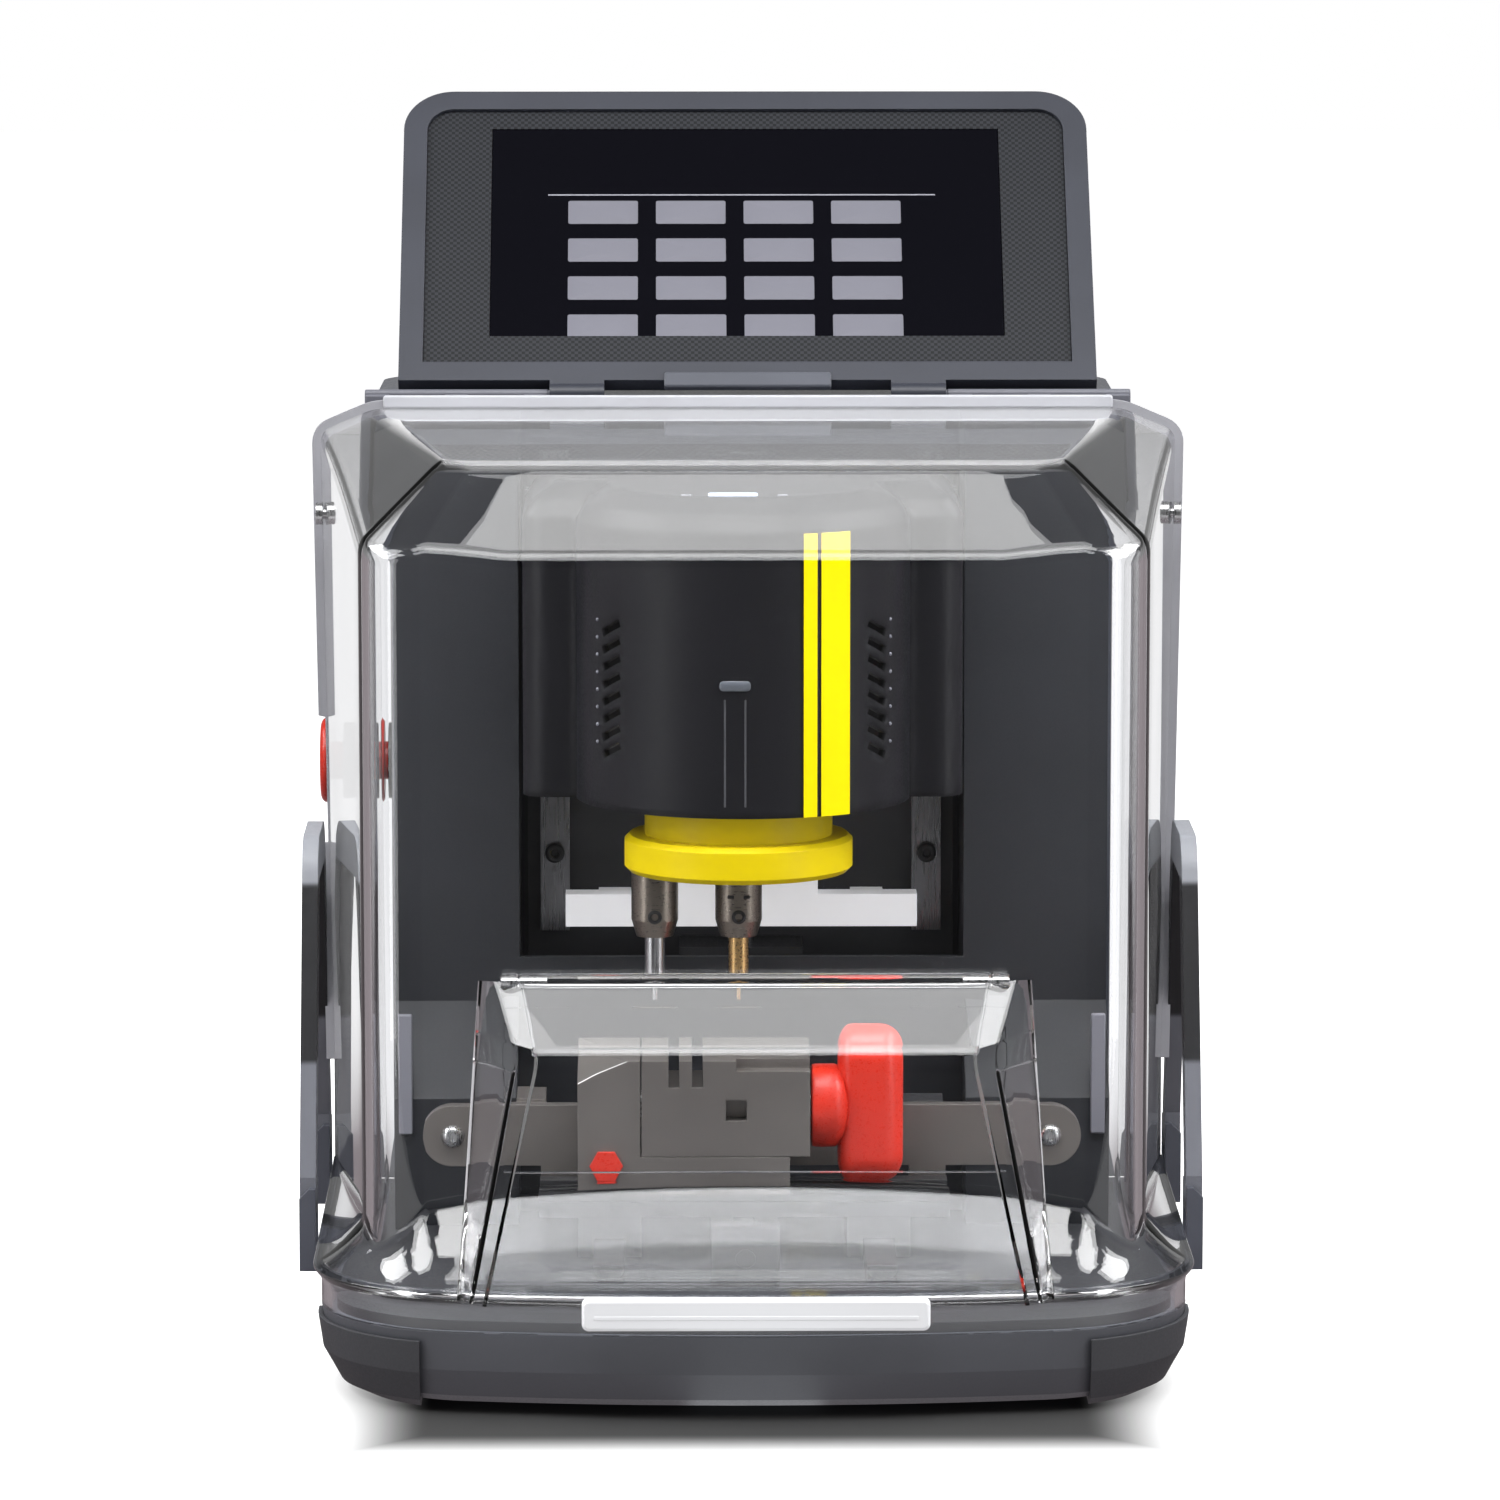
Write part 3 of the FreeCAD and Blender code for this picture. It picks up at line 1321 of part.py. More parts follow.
def clamp_badge():
    """Small bare six-sided badge on the fixed jaw."""
    points = []
    for count in range(6):
        turn = math.radians(60 * count)
        points.append(V(badge_x + badge_r * math.cos(turn), clamp_front,
                        badge_z + badge_r * math.sin(turn)))
    return prism(points, V(0, -badge_thick, 0))


def knob_outline(inset, x):
    """Outline of the knob's wings: straight sides and round ends."""
    half = knob_wing_half - inset
    reach = knob_wing - knob_wing_half
    front = knob_y - half
    rear = knob_y + half
    low = knob_z - reach
    high = knob_z + reach
    return Part.Wire([line(V(x, front, low), V(x, front, high)),
                      arc(V(x, front, high), V(x, knob_y, high + half), V(x, rear, high)),
                      line(V(x, rear, high), V(x, rear, low)),
                      arc(V(x, rear, low), V(x, knob_y, low - half), V(x, front, low))])


def clamp_knob():
    """Winged knob that closes the clamp: a round hub, then wings with soft ends."""
    left = clamp_right + jaw_gap
    wing = left + knob_hub_long
    right = left + knob_long
    bends = [(knob_round, wing - knob_round / 2), (0, wing + knob_round / 2), (0, right - knob_round),
             (knob_round / 2, right - knob_round / 4), (knob_round, right)]
    wings = Part.makeLoft([knob_outline(inset, x) for inset, x in bends], True, True)
    hub = rod(knob_hub_r, V(left, knob_y, knob_z), V(wing + knob_round, knob_y, knob_z))
    bore = rod(clamp_screw_r + run_gap, V(left - cut_past, knob_y, knob_z),
               V(left + knob_hub_r, knob_y, knob_z))
    return join([wings, hub]).cut(bore)


def clamp_screw():
    """Screw from the knob through the moving jaw into the fixed one."""
    return rod(clamp_screw_r, V(clamp_split - clamp_screw_deep, knob_y, knob_z),
               V(clamp_right + jaw_gap + knob_hub_r - touch_gap, knob_y, knob_z))


def panel_outline(inset, y):
    """Front view of the touch panel, before it leans back."""
    half = panel_half - inset
    low = panel_start + inset
    top = panel_start + panel_high - inset
    corner = max(panel_corner - inset, panel_low_corner)
    slant = corner * (1 - math.sqrt(0.5))
    return Part.Wire([
        line(V(-half, y, low), V(half, y, low)), line(V(half, y, low), V(half, y, top - corner)),
        arc(V(half, y, top - corner), V(half - slant, y, top - slant), V(half - corner, y, top)),
        line(V(half - corner, y, top), V(corner - half, y, top)),
        arc(V(corner - half, y, top), V(slant - half, y, top - slant), V(-half, y, top - corner)),
        line(V(-half, y, top - corner), V(-half, y, low))])


def panel_slab(inset, front, back):
    """Plate of the panel's outline between two depths."""
    return Part.Face(panel_outline(inset, front)).extrude(V(0, back - front, 0))


def lean_back(shape):
    """Turn a panel piece back to its rest angle and set it on the hinge line."""
    shape.rotate(V(0, 0, 0), V(1, 0, 0), -panel_lean)
    shape.translate(V(0, hinge_y, hinge_z))
    return shape


def display_cut(grow, front, back):
    """Display outline, grown by a clearance."""
    low = panel_start + display_low
    return box(-display_half - grow, display_half + grow, front, back, low - grow,
               low + display_high + grow)


def panel_bezel():
    """Frame of the touch panel with its two hinge knuckles."""
    back = bezel_deep - panel_front
    window = panel_slab(bezel_side, -panel_front - cut_past, back + cut_past)
    frame = panel_slab(0, -panel_front, back).cut(window)
    inner = hinge_inner - swing_gap - knuckle_long
    outer = hinge_inner - swing_gap
    barrel = rod(hinge_r, V(inner, 0, 0), V(outer, 0, 0))
    web = box(inner, outer, -panel_front, panel_front, 0, panel_start + cut_past)
    frame = join([frame] + both_sides(join([barrel, web])))
    bore = rod(hinge_pin_r + run_gap, V(inner - cut_past, 0, 0), V(outer + cut_past, 0, 0))
    for hole in both_sides(bore):
        frame = frame.cut(hole)
    return lean_back(frame)


def panel_faceplate():
    """Dark plate inside the bezel, with the display's window."""
    front = plate_recess - panel_front
    back = bezel_deep - panel_front
    plate = panel_slab(bezel_side + touch_gap, front, back)
    return lean_back(plate.cut(display_cut(touch_gap, front - cut_past, back + cut_past)))


def panel_display():
    """Display glass in the faceplate's window."""
    front = plate_recess + display_recess - panel_front
    return lean_back(display_cut(0, front, front + display_thick))


def panel_back():
    """Back shell of the touch panel, closed behind and below."""
    front = bezel_deep - panel_front
    low = panel_start + panel_strip
    upper = box(-panel_half, panel_half, front, panel_deep, low, panel_start + panel_high)
    outer = panel_slab(0, front, panel_deep).common(upper)
    rear_edges = [e for e in outer.Edges if min(v.Y for v in e.Vertexes) > panel_deep - cut_past]
    outer = outer.makeFillet(panel_low_corner, rear_edges)
    cavity = box(panel_wall - panel_half, panel_half - panel_wall, front - cut_past,
                 panel_deep - panel_wall, low + panel_wall, panel_start + panel_high - panel_wall)
    hollow = panel_slab(panel_wall, front - cut_past, panel_deep - panel_wall).common(cavity)
    return lean_back(outer.cut(hollow))


def panel_hinges():
    """Hinge barrels on the housing's top, each with its friction pin."""
    barrel = rod(hinge_r, V(hinge_inner, hinge_y, hinge_z), V(hinge_outer, hinge_y, hinge_z))
    foot = box(hinge_inner, hinge_outer, hinge_y - hinge_r, hinge_y + hinge_r, hood_top, hinge_z)
    pin = rod(hinge_pin_r, V(hinge_inner - hinge_pin_reach, hinge_y, hinge_z),
              V(hinge_outer, hinge_y, hinge_z))
    return Part.makeCompound(both_sides(join([barrel, foot, pin])))


def control_board():
    """Circuit board on the rear housing's bosses, with a few tall parts."""
    rear = housing_rear - housing_wall - board_stand
    board = box(-board_half, board_half, rear - board_thick, rear, board_low, board_low + board_high)
    chip = box(-board_half / 4, board_half / 4, rear - board_thick * 3, rear - board_thick,
               board_low + board_high / 2, board_low + board_high * 0.75)
    return join([board, chip])


def power_supply():
    """Finned power supply on the deck."""
    top = deck_top + supply_high
    supply_rear = housing_rear - housing_wall - supply_clear
    supply_front = supply_rear - supply_long
    body = box(supply_left, supply_right, supply_front, supply_rear, deck_top, top)
    pitch = (supply_right - supply_left) / supply_fins
    for count in range(supply_fins):
        left = supply_left + (count + 0.25) * pitch
        body = body.cut(box(left, left + pitch / 2, supply_front - cut_past, supply_rear + cut_past,
                            top - supply_fin_deep, top + cut_past))
    return body


def power_inlet():
    """Mains inlet with its three blades, and the frame of the rocker switch."""
    back = housing_rear + inlet_flange
    flange = box(inlet_x - inlet_half, inlet_x + inlet_half, housing_rear, back, inlet_z - inlet_high_half,
                 inlet_z + inlet_high_half)
    edge = inlet_flange + touch_gap
    across = inlet_half - edge
    up = inlet_high_half - edge
    body = box(inlet_x - across, inlet_x + across, housing_rear - inlet_deep, housing_rear,
               inlet_z - up, inlet_z + up)
    middle = inlet_x + socket_dx
    socket = box(middle - socket_half, middle + socket_half, back - socket_deep, back + cut_past,
                 inlet_z - socket_high_half, inlet_z + socket_high_half)
    cavity = socket.makeChamfer(socket_cut, [e for e in socket.Edges if abs(e.tangentAt(0).y) > 0.9
                                             and e.CenterOfMass.z > inlet_z])
    rocker = inlet_x + rocker_dx
    well_half = rocker_half + swing_gap
    well = box(rocker - well_half, rocker + well_half, back - rocker_deep - cut_past, back + cut_past,
               inlet_z - rocker_high_half - cut_past, inlet_z + rocker_high_half + cut_past)
    pin = rod(rocker_pin_r, V(rocker - rocker_half - cut_past, back - rocker_deep / 2, inlet_z),
              V(rocker + rocker_half + cut_past, back - rocker_deep / 2, inlet_z))
    blades = []
    for count in (-1, 0, 1):
        x = middle + count * blade_step
        z = inlet_z + (blade_high_half if count == 0 else -blade_high_half)
        blades.append(box(x - blade_half, x + blade_half, back - socket_deep - cut_past,
                          back - socket_deep + blade_long, z - blade_high_half, z + blade_high_half))
    return join([join([flange, body]).cut(cavity).cut(well), pin] + blades)


def power_rocker():
    """Rocker of the power switch, at rest in its off position."""
    pivot = V(inlet_x + rocker_dx, housing_rear + inlet_flange - rocker_deep / 2, inlet_z)
    half = rocker_deep / 2
    left = -rocker_half
    tall = rocker_high_half - cut_past
    hub = rocker_pin_r * 2
    outline = [V(left, half + touch_gap, tall), V(left, half - cut_past, 0), V(left, half + touch_gap, -tall),
               V(left, 0, -tall), V(left, -hub, -hub), V(left, -hub, hub), V(left, 0, tall)]
    rocker = prism(outline, V(2 * rocker_half, 0, 0))
    bore = rod(rocker_pin_r + run_gap, V(left - cut_past, 0, 0), V(rocker_half + cut_past, 0, 0))
    rocker = rocker.cut(bore)
    rocker.rotate(V(0, 0, 0), V(1, 0, 0), -rocker_tilt)
    rocker.translate(pivot)
    return rocker


nodes = [base_tray, corner_feet, base_deck, hood, hood_screws, door_panel, door_hinge_pins, handle_brackets,
         handle_left, handle_right, rear_housing, stop_collar, stop_button, chamber_liner, column, z_rails,
         y_rails, x_rails, light_bar, axis_motors, screw_bearings, z_screw, y_screw, x_screw, head_blocks,
         head_plate, head_cover, head_stripes, spindle_housing, guard_ring, probe_holder, probe, cutter,
         cutter_collet, spindle_shaft, motor_pulley, spindle_motor, drive_belt, saddle_plate, saddle_blocks,
         cross_beam, x_motor, table_plate, table_blocks, clamp_body, clamp_jaw, clamp_badge, clamp_knob,
         clamp_screw, panel_bezel, panel_faceplate, panel_display, panel_back, panel_hinges, control_board,
         power_supply, power_inlet, power_rocker]


def main():
    """Build every node and write one file for each."""
    os.makedirs("parts", exist_ok=True)
    for node in nodes:
        shape = node()
        name = node.__name__
        box_of = shape.optimalBoundingBox()
        print(name, len(shape.Solids), shape.isValid(), round(shape.Volume), [round(v, 1) for v in (
            box_of.XMin, box_of.XMax, box_of.YMin, box_of.YMax, box_of.ZMin, box_of.ZMax)])
        shape.exportStep("parts/" + name + ".step")


main()
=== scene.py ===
"""Looks of a bench key duplicating machine: finishes, fine pieces, studio and camera.

Shapes are written in millimetres and scaled to the frame's metres when their mesh is made.
"""

import logging
import math
from dataclasses import dataclass, field
from enum import Enum

import bmesh
import bpy
import numpy as np
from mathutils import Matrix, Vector


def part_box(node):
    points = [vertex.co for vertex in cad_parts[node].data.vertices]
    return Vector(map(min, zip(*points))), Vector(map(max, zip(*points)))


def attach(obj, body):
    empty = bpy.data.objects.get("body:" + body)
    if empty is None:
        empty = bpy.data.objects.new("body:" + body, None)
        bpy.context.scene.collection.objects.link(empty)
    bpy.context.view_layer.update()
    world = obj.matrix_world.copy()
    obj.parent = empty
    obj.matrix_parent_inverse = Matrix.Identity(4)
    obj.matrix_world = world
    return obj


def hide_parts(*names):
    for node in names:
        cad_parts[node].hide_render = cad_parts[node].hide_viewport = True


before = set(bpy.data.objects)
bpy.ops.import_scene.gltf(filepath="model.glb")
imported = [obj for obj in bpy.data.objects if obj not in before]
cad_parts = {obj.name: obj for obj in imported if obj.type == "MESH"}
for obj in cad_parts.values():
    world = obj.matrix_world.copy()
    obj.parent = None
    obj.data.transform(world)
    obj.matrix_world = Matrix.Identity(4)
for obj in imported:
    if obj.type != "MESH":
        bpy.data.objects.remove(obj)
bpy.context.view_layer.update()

LOG = logging.getLogger("key_machine")
MM = 0.001
SHARP = 38.0
WHITE_LIGHT = (1.0, 1.0, 1.0, 1.0)
Colour = tuple[float, float, float]
Points = np.ndarray


class Grain(Enum):
    """Kinds of fine surface pattern, as noise scale along X, Y and Z."""

    SPARK = (1400.0, 1400.0, 1400.0)
    SATIN = (3200.0, 3200.0, 3200.0)
    ALONG_X = (60.0, 2600.0, 2600.0)
    ALONG_Z = (2600.0, 2600.0, 60.0)


class Body(Enum):
    """Bodies of the frame that new pieces ride on."""

    FRAME = "frame"
    DOOR = "door"
    STOP = "stop"
    HEAD = "head"
    SPINDLE = "spindle"
    SADDLE = "saddle"
    TABLE = "table"
    KNOB = "knob"
    PANEL = "touch_panel"


class NodeTree:
    """Small helper that adds and links shader nodes in one material or world."""

    def __init__(self, tree: bpy.types.NodeTree) -> None:
        """Empty the tree and keep it."""
        self.tree = tree
        self.tree.nodes.clear()

    def add(self, kind: str, **values: object) -> bpy.types.Node:
        """Add a node and fill its properties and inputs.

        Args:
            kind: node type name without its ShaderNode prefix.
            values: property or input names, with a number, a colour or another node's output; an underscore
                stands for a space in an input's name.
        Returns:
            The new node.
        """
        node = self.tree.nodes.new("ShaderNode" + kind)
        for name, value in values.items():
            if hasattr(node, name):
                setattr(node, name, value)
            else:
                self.fill(node.inputs[name.replace("_", " ")], value)
        return node

    def fill(self, socket: bpy.types.NodeSocket, value: object) -> None:
        """Join another node's output to an input, or set the input's value."""
        if isinstance(value, bpy.types.NodeSocket):
            self.tree.links.new(value, socket)
        else:
            socket.default_value = value

    def ramp(self, source: bpy.types.NodeSocket, stops: list[tuple[float, Colour]]) -> bpy.types.NodeSocket:
        """Colour ramp on a value.

        Args:
            source: the value that is looked up.
            stops: pairs of position and colour, in order.
        Returns:
            The ramp's colour output.
        """
        node = self.add("ValToRGB", Fac=source)
        points = node.color_ramp.elements
        while len(points) < len(stops):
            points.new(1.0)
        for point, (place, colour) in zip(points, stops):
            point.position = place
            point.color = (*colour, 1.0)
        return node.outputs["Color"]

    def maths(self, operation: str, first: object, second: object = 0.0) -> bpy.types.NodeSocket:
        """One step of arithmetic on sockets or numbers.

        Args:
            operation: the Math node's operation.
            first: a socket or a number.
            second: a socket or a number.
        Returns:
            The result.
        """
        node = self.add("Math", operation=operation)
        for value, socket in zip((first, second), node.inputs):
            self.fill(socket, value)
        return node.outputs[0]

    def mix(self, factor: bpy.types.NodeSocket, first: bpy.types.NodeSocket,
            second: bpy.types.NodeSocket) -> bpy.types.NodeSocket:
        """Shader that turns from the first into the second as the factor rises from 0 to 1."""
        node = self.add("MixShader")
        for value, socket in zip((factor, first, second), node.inputs):
            self.fill(socket, value)
        return node.outputs["Shader"]

    def rise(self, source: bpy.types.NodeSocket, start: float, end: float, low: float,
             high: float) -> bpy.types.NodeSocket:
        """Smooth step of a value from low at the start to high at the end."""
        node = self.add("MapRange", interpolation_type="SMOOTHSTEP", Value=source, From_Min=start,
                        From_Max=end, To_Min=low, To_Max=high)
        return node.outputs["Result"]


def shade(colour: Colour, factor: float) -> Colour:
    """A colour made lighter or darker by a factor."""
    return tuple(min(1.0, channel * factor) for channel in colour)


@dataclass(frozen=True)
class Finish:
    """Surface with fine grain, slow colour drift and soft edges.

    The base colour drifts by `drift` on a scale of centimetres, the roughness by `speckle` on the scale of
    the grain, and the grain lifts the surface by `relief`. Edges are rounded in the normal by `edge`.
    """

    name: str
    colour: Colour
    roughness: float
    metallic: float = 0.0
    grain: Grain = Grain.SPARK
    relief: float = 0.12
    speckle: float = 0.08
    drift: float = 0.12
    edge: float = 0.4 * MM
    coat: float = 0.0
    specular: float = 0.5
    glow: float = 0.0

    def build(self) -> bpy.types.Material:
        """Make the material once and keep it under a name of its own, apart from the frame's materials."""
        name = f"look_{self.name}"
        known = bpy.data.materials.get(name)
        if known:
            return known
        material = bpy.data.materials.new(name)
        material.use_nodes = True
        nodes = NodeTree(material.node_tree)
        nodes.add("OutputMaterial", Surface=self.surface(nodes))
        return material

    def surface(self, nodes: NodeTree) -> bpy.types.NodeSocket:
        """Principled shader fed by the grain.

        Args:
            nodes: the material's tree.
        Returns:
            The shader's output.
        """
        place = nodes.add("TexCoord").outputs["Object"]
        stretch = nodes.add("Mapping", Scale=self.grain.value, Vector=place)
        fine = nodes.add("TexNoise", Scale=1.0, Detail=3.0, Vector=stretch.outputs["Vector"]).outputs["Fac"]
        rough = nodes.add("MapRange", Value=fine, From_Min=0.3, From_Max=0.7,
                          To_Min=max(0.02, self.roughness - self.speckle),
                          To_Max=min(1.0, self.roughness + self.speckle))
        bump = nodes.add("Bump", Strength=self.relief, Distance=0.05 * MM, Height=fine)
        if self.edge > 0.0:
            soft = nodes.add("Bevel", samples=4, Radius=self.edge)
            nodes.fill(bump.inputs["Normal"], soft.outputs["Normal"])
        shader = nodes.add("BsdfPrincipled", Base_Color=self.tint(nodes, place), Metallic=self.metallic,
                           Roughness=rough.outputs["Result"], Specular_IOR_Level=self.specular,
                           Coat_Weight=self.coat, Coat_Roughness=0.08, Normal=bump.outputs["Normal"],
                           Emission_Strength=self.glow, Emission_Color=(*self.colour, 1.0))
        return shader.outputs["BSDF"]

    def tint(self, nodes: NodeTree, place: bpy.types.NodeSocket) -> bpy.types.NodeSocket:
        """Colour of the surface, drifting slowly over it.

        Args:
            nodes: the material's tree.
            place: the surface's coordinates.
        Returns:
            The colour.
        """
        slow = nodes.add("TexNoise", Scale=28.0, Detail=4.0, Vector=place)
        return nodes.ramp(slow.outputs["Fac"], [(0.25, shade(self.colour, 1.0 - self.drift)),
                                                (0.75, shade(self.colour, 1.0 + self.drift))])


@dataclass(frozen=True)
class ClearFinish(Finish):
    """Clear acrylic: bends and mirrors light, lets lamps through, and is a little wavy."""

    bend: float = 1.49
    wave: float = 0.02
    # share of milky white in place of clear; on the hood's flat top it is a painted sheen
    veil: float = 0.0

    def surface(self, nodes: NodeTree) -> bpy.types.NodeSocket:
        """Glass for everything but shadows, which it lets through.

        Args:
            nodes: the material's tree.
        Returns:
            The mixed shader's output.
        """
        slow = nodes.add("TexNoise", Scale=9.0, Detail=1.0, Vector=nodes.add("TexCoord").outputs["Object"])
        bump = nodes.add("Bump", Strength=self.wave, Distance=1.0 * MM, Height=slow.outputs["Fac"])
        glass = nodes.add("BsdfPrincipled", Base_Color=(*self.colour, 1.0), Roughness=self.roughness,
                          IOR=self.bend, Transmission_Weight=1.0 - self.veil, Normal=bump.outputs["Normal"])
        clear = nodes.add("BsdfTransparent", Color=(*self.colour, 1.0))
        shadow = nodes.add("LightPath").outputs["Is Shadow Ray"]
        return nodes.mix(shadow, glass.outputs["BSDF"], clear.outputs["BSDF"])


@dataclass(frozen=True)
class WovenFinish(Finish):
    """Film with a fine woven check, laid along a sheet that leans back by `lean` degrees."""

    lean: float = 45.0
    pitch: float = 1.1 * MM
    contrast: float = 0.55

    def tint(self, nodes: NodeTree, place: bpy.types.NodeSocket) -> bpy.types.NodeSocket:
        """Check of two tones on the sheet's own axes."""
        turn = nodes.add("Mapping", Rotation=(math.radians(self.lean), 0.0, 0.0), Vector=place)
        check = nodes.add("TexChecker", Scale=1.0 / self.pitch, Vector=turn.outputs["Vector"],
                          Color1=(*shade(self.colour, 1.0 + self.contrast), 1.0),
                          Color2=(*shade(self.colour, 1.0 - self.contrast), 1.0))
        return check.outputs["Color"]


@dataclass(frozen=True)
class ShadeBandFinish(Finish):
    """Plastic in bands of colour up its height, which paint light and shade onto it: on the handles, a light
    top bar and painted shade down the legs.

    Each band is a height in millimetres, where it ends, and its colour.
    """

    bands: tuple[tuple[float, Colour], ...] = ()

    def tint(self, nodes: NodeTree, place: bpy.types.NodeSocket) -> bpy.types.NodeSocket:
        """Bands by height, as a ramp with steps between 0 and the last band's end."""
        height = nodes.add("SeparateXYZ", Vector=place)
        top = self.bands[-1][0]
        share = nodes.maths("DIVIDE", height.outputs["Z"], top * MM)
        starts = [0.0] + [end / top for end, colour in self.bands[:-1]]
        stops = []
        for start, (end, colour) in zip(starts, self.bands):
            stops += [(start + 0.005, colour), (end / top - 0.005, colour)]
        return nodes.ramp(share, stops)


TRAY = Finish("tray_plastic", (0.090, 0.094, 0.108), 0.5, relief=0.25)
PANEL = Finish("panel_plastic", (0.033, 0.036, 0.049), 0.42, relief=0.15)
SLATE = Finish("slate_plastic", (0.075, 0.080, 0.100), 0.42, relief=0.15)
LINER = Finish("liner_plastic", (0.023, 0.0245, 0.029), 0.5, relief=0.3, specular=0.4)
BLACK = Finish("black_plastic", (0.012, 0.012, 0.014), 0.42, relief=0.18)
HEAD_BLACK = Finish("head_plastic", (0.007, 0.007, 0.009), 0.40, relief=0.2, edge=4.0 * MM, specular=0.3)
GROOVE = Finish("head_groove", (0.075, 0.075, 0.082), 0.4, relief=0.05, edge=0.0)
RUBBER = Finish("foot_rubber", (0.055, 0.056, 0.063), 0.7, relief=0.4)
# painted light and shade by height: darker below 40 mm, lighter to 81 mm, painted shade down the legs to 133
# mm, painted light on the top bar
GRIP_PAINTED_SHADE = ShadeBandFinish("handle_painted_light_and_shade", (0.08, 0.085, 0.1), 0.45, relief=0.15, bands=(
    (40.0, (0.03, 0.031, 0.035)), (81.0, (0.16, 0.165, 0.19)), (133.0, (0.012, 0.012, 0.014)),
    (150.0, (0.30, 0.31, 0.34))))
CLEAR = ClearFinish("clear_acrylic", (0.985, 0.988, 0.995), 0.0)
# lighter copy of the clear acrylic for the flat top only: a painted sheen
TOP_CLEAR_PAINTED_SHEEN = ClearFinish("top_acrylic_painted_sheen", (0.985, 0.988, 0.995), 0.0, veil=0.10)
DOOR_CLEAR = ClearFinish("door_acrylic", (0.97, 0.975, 0.985), 0.0)
# the grip's glow is painted light; it is no lamp
FROSTED_PAINTED_GLOW = Finish("frosted_acrylic_painted_glow", (0.86, 0.87, 0.89), 0.45, drift=0.02, relief=0.05, glow=0.12)
YELLOW = Finish("yellow_paint", (0.68, 0.515, 0.0), 0.35, drift=0.03, relief=0.05, specular=0.15)
FILM = Finish("yellow_film", (0.92, 0.72, 0.0), 0.5, drift=0.02, relief=0.04, edge=0.0, specular=0.04)
RED = Finish("red_plastic", (0.63, 0.030, 0.015), 0.32, drift=0.05, coat=0.1, relief=0.05, edge=0.8 * MM)
CLAMP = Finish("clamp_steel", (0.22, 0.202, 0.189), 0.42, metallic=0.7, grain=Grain.SATIN, relief=0.25)
COLLET = Finish("collet_steel", (0.27, 0.235, 0.20), 0.32, metallic=1.0, grain=Grain.ALONG_X, relief=0.2)
STEEL = Finish("bright_steel", (0.60, 0.60, 0.61), 0.28, metallic=1.0, grain=Grain.ALONG_Z, relief=0.2)
DARK_STEEL = Finish("dark_steel", (0.10, 0.10, 0.105), 0.4, metallic=0.9, grain=Grain.ALONG_X, relief=0.2)
RAIL = Finish("rail_steel", (0.30, 0.30, 0.31), 0.3, metallic=1.0, grain=Grain.ALONG_Z, relief=0.2)
GOLD = Finish("tool_coating", (0.72, 0.46, 0.20), 0.3, metallic=1.0, relief=0.1, edge=0.1 * MM)
DECK = Finish("deck_plate", (0.035, 0.036, 0.040), 0.45, relief=0.2)
CAN = Finish("motor_can", (0.03, 0.03, 0.033), 0.4, relief=0.1)
WHITE = Finish("lamp_white", (0.88, 0.88, 0.90), 0.4, drift=0.02, relief=0.05, glow=0.27)
# own pale colour on the head's marks; on the liner strips it is a painted reflection, on the louvre dots
# painted glints
PALE_MARKS_AND_PAINTED_GLINTS = Finish("pale_marks_and_painted_glints", (0.20, 0.20, 0.232), 0.4, drift=0.05, relief=0.1)
LENS = Finish("lens_glass", (0.10, 0.11, 0.13), 0.12, drift=0.1, relief=0.0, coat=0.6)
LAMP_LINE = Finish("lamp_line", (0.62, 0.72, 0.95), 0.4, drift=0.05, relief=0.05, glow=0.5)
GLASS_BLACK = Finish("display_glass", (0.004, 0.004, 0.006), 0.12, drift=0.02, relief=0.0, speckle=0.02,
                     specular=0.03)
WEAVE = WovenFinish("woven_film", (0.018, 0.0195, 0.0235), 0.4, relief=0.1, specular=0.25)
TILE = Finish("display_tile", (0.158, 0.158, 0.186), 0.35, drift=0.03, relief=0.0, edge=0.0, specular=0.1,
              glow=0.25)
RULE = Finish("display_rule", (0.25, 0.25, 0.29), 0.35, drift=0.03, relief=0.0, edge=0.0, glow=0.4)
HINGE = Finish("hinge_plastic", (0.15, 0.153, 0.18), 0.4, relief=0.1)
LIP = Finish("frosted_lip", (0.52, 0.525, 0.565), 0.45, drift=0.03, relief=0.05)
TRIM = Finish("hood_trim", (0.36, 0.36, 0.39), 0.4, drift=0.04, relief=0.05)
# near white and glowing: a painted highlight on the fixed jaw's bevel
BEVEL_PAINTED_HIGHLIGHT = Finish("painted_highlight_bevel", (0.92, 0.92, 0.93), 0.2, drift=0.02, relief=0.03, edge=0.0, glow=0.4)
BOARD = Finish("circuit_board", (0.02, 0.16, 0.06), 0.4)


def dress(node: str, finish: Finish) -> None:
    """Give a frame node its finish."""
    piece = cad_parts[node]
    piece.data.materials.clear()
    piece.data.materials.append(finish.build())


@dataclass(frozen=True)
class Place:
    """Flat frame in space, in millimetres: an origin and the directions right, up and out of it."""

    origin: tuple[float, float, float]
    right: tuple[float, float, float] = (1.0, 0.0, 0.0)
    up: tuple[float, float, float] = (0.0, 0.0, 1.0)

    def at(self, local: Points) -> Points:
        """Move points from this frame into the machine's.

        Args:
            local: array whose last axis is (right, up, out).
        Returns:
            The same points in machine coordinates: origin + right x + up y + (right cross up) z.
        """
        axes = np.array([self.right, self.up, np.cross(self.right, self.up)])
        return np.array(self.origin) + local @ axes

    def moved(self, right: float, up: float, out: float = 0.0) -> "Place":
        """The same frame with its origin moved along its own directions."""
        return Place(tuple(self.at(np.array([right, up, out]))), self.right, self.up)


def facing_front(x: float, y: float, z: float) -> Place:
    """Frame whose out direction points to the front."""
    return Place((x, y, z))


def facing_up(x: float, y: float, z: float) -> Place:
    """Frame whose out direction points up."""
    return Place((x, y, z), up=(0.0, 1.0, 0.0))


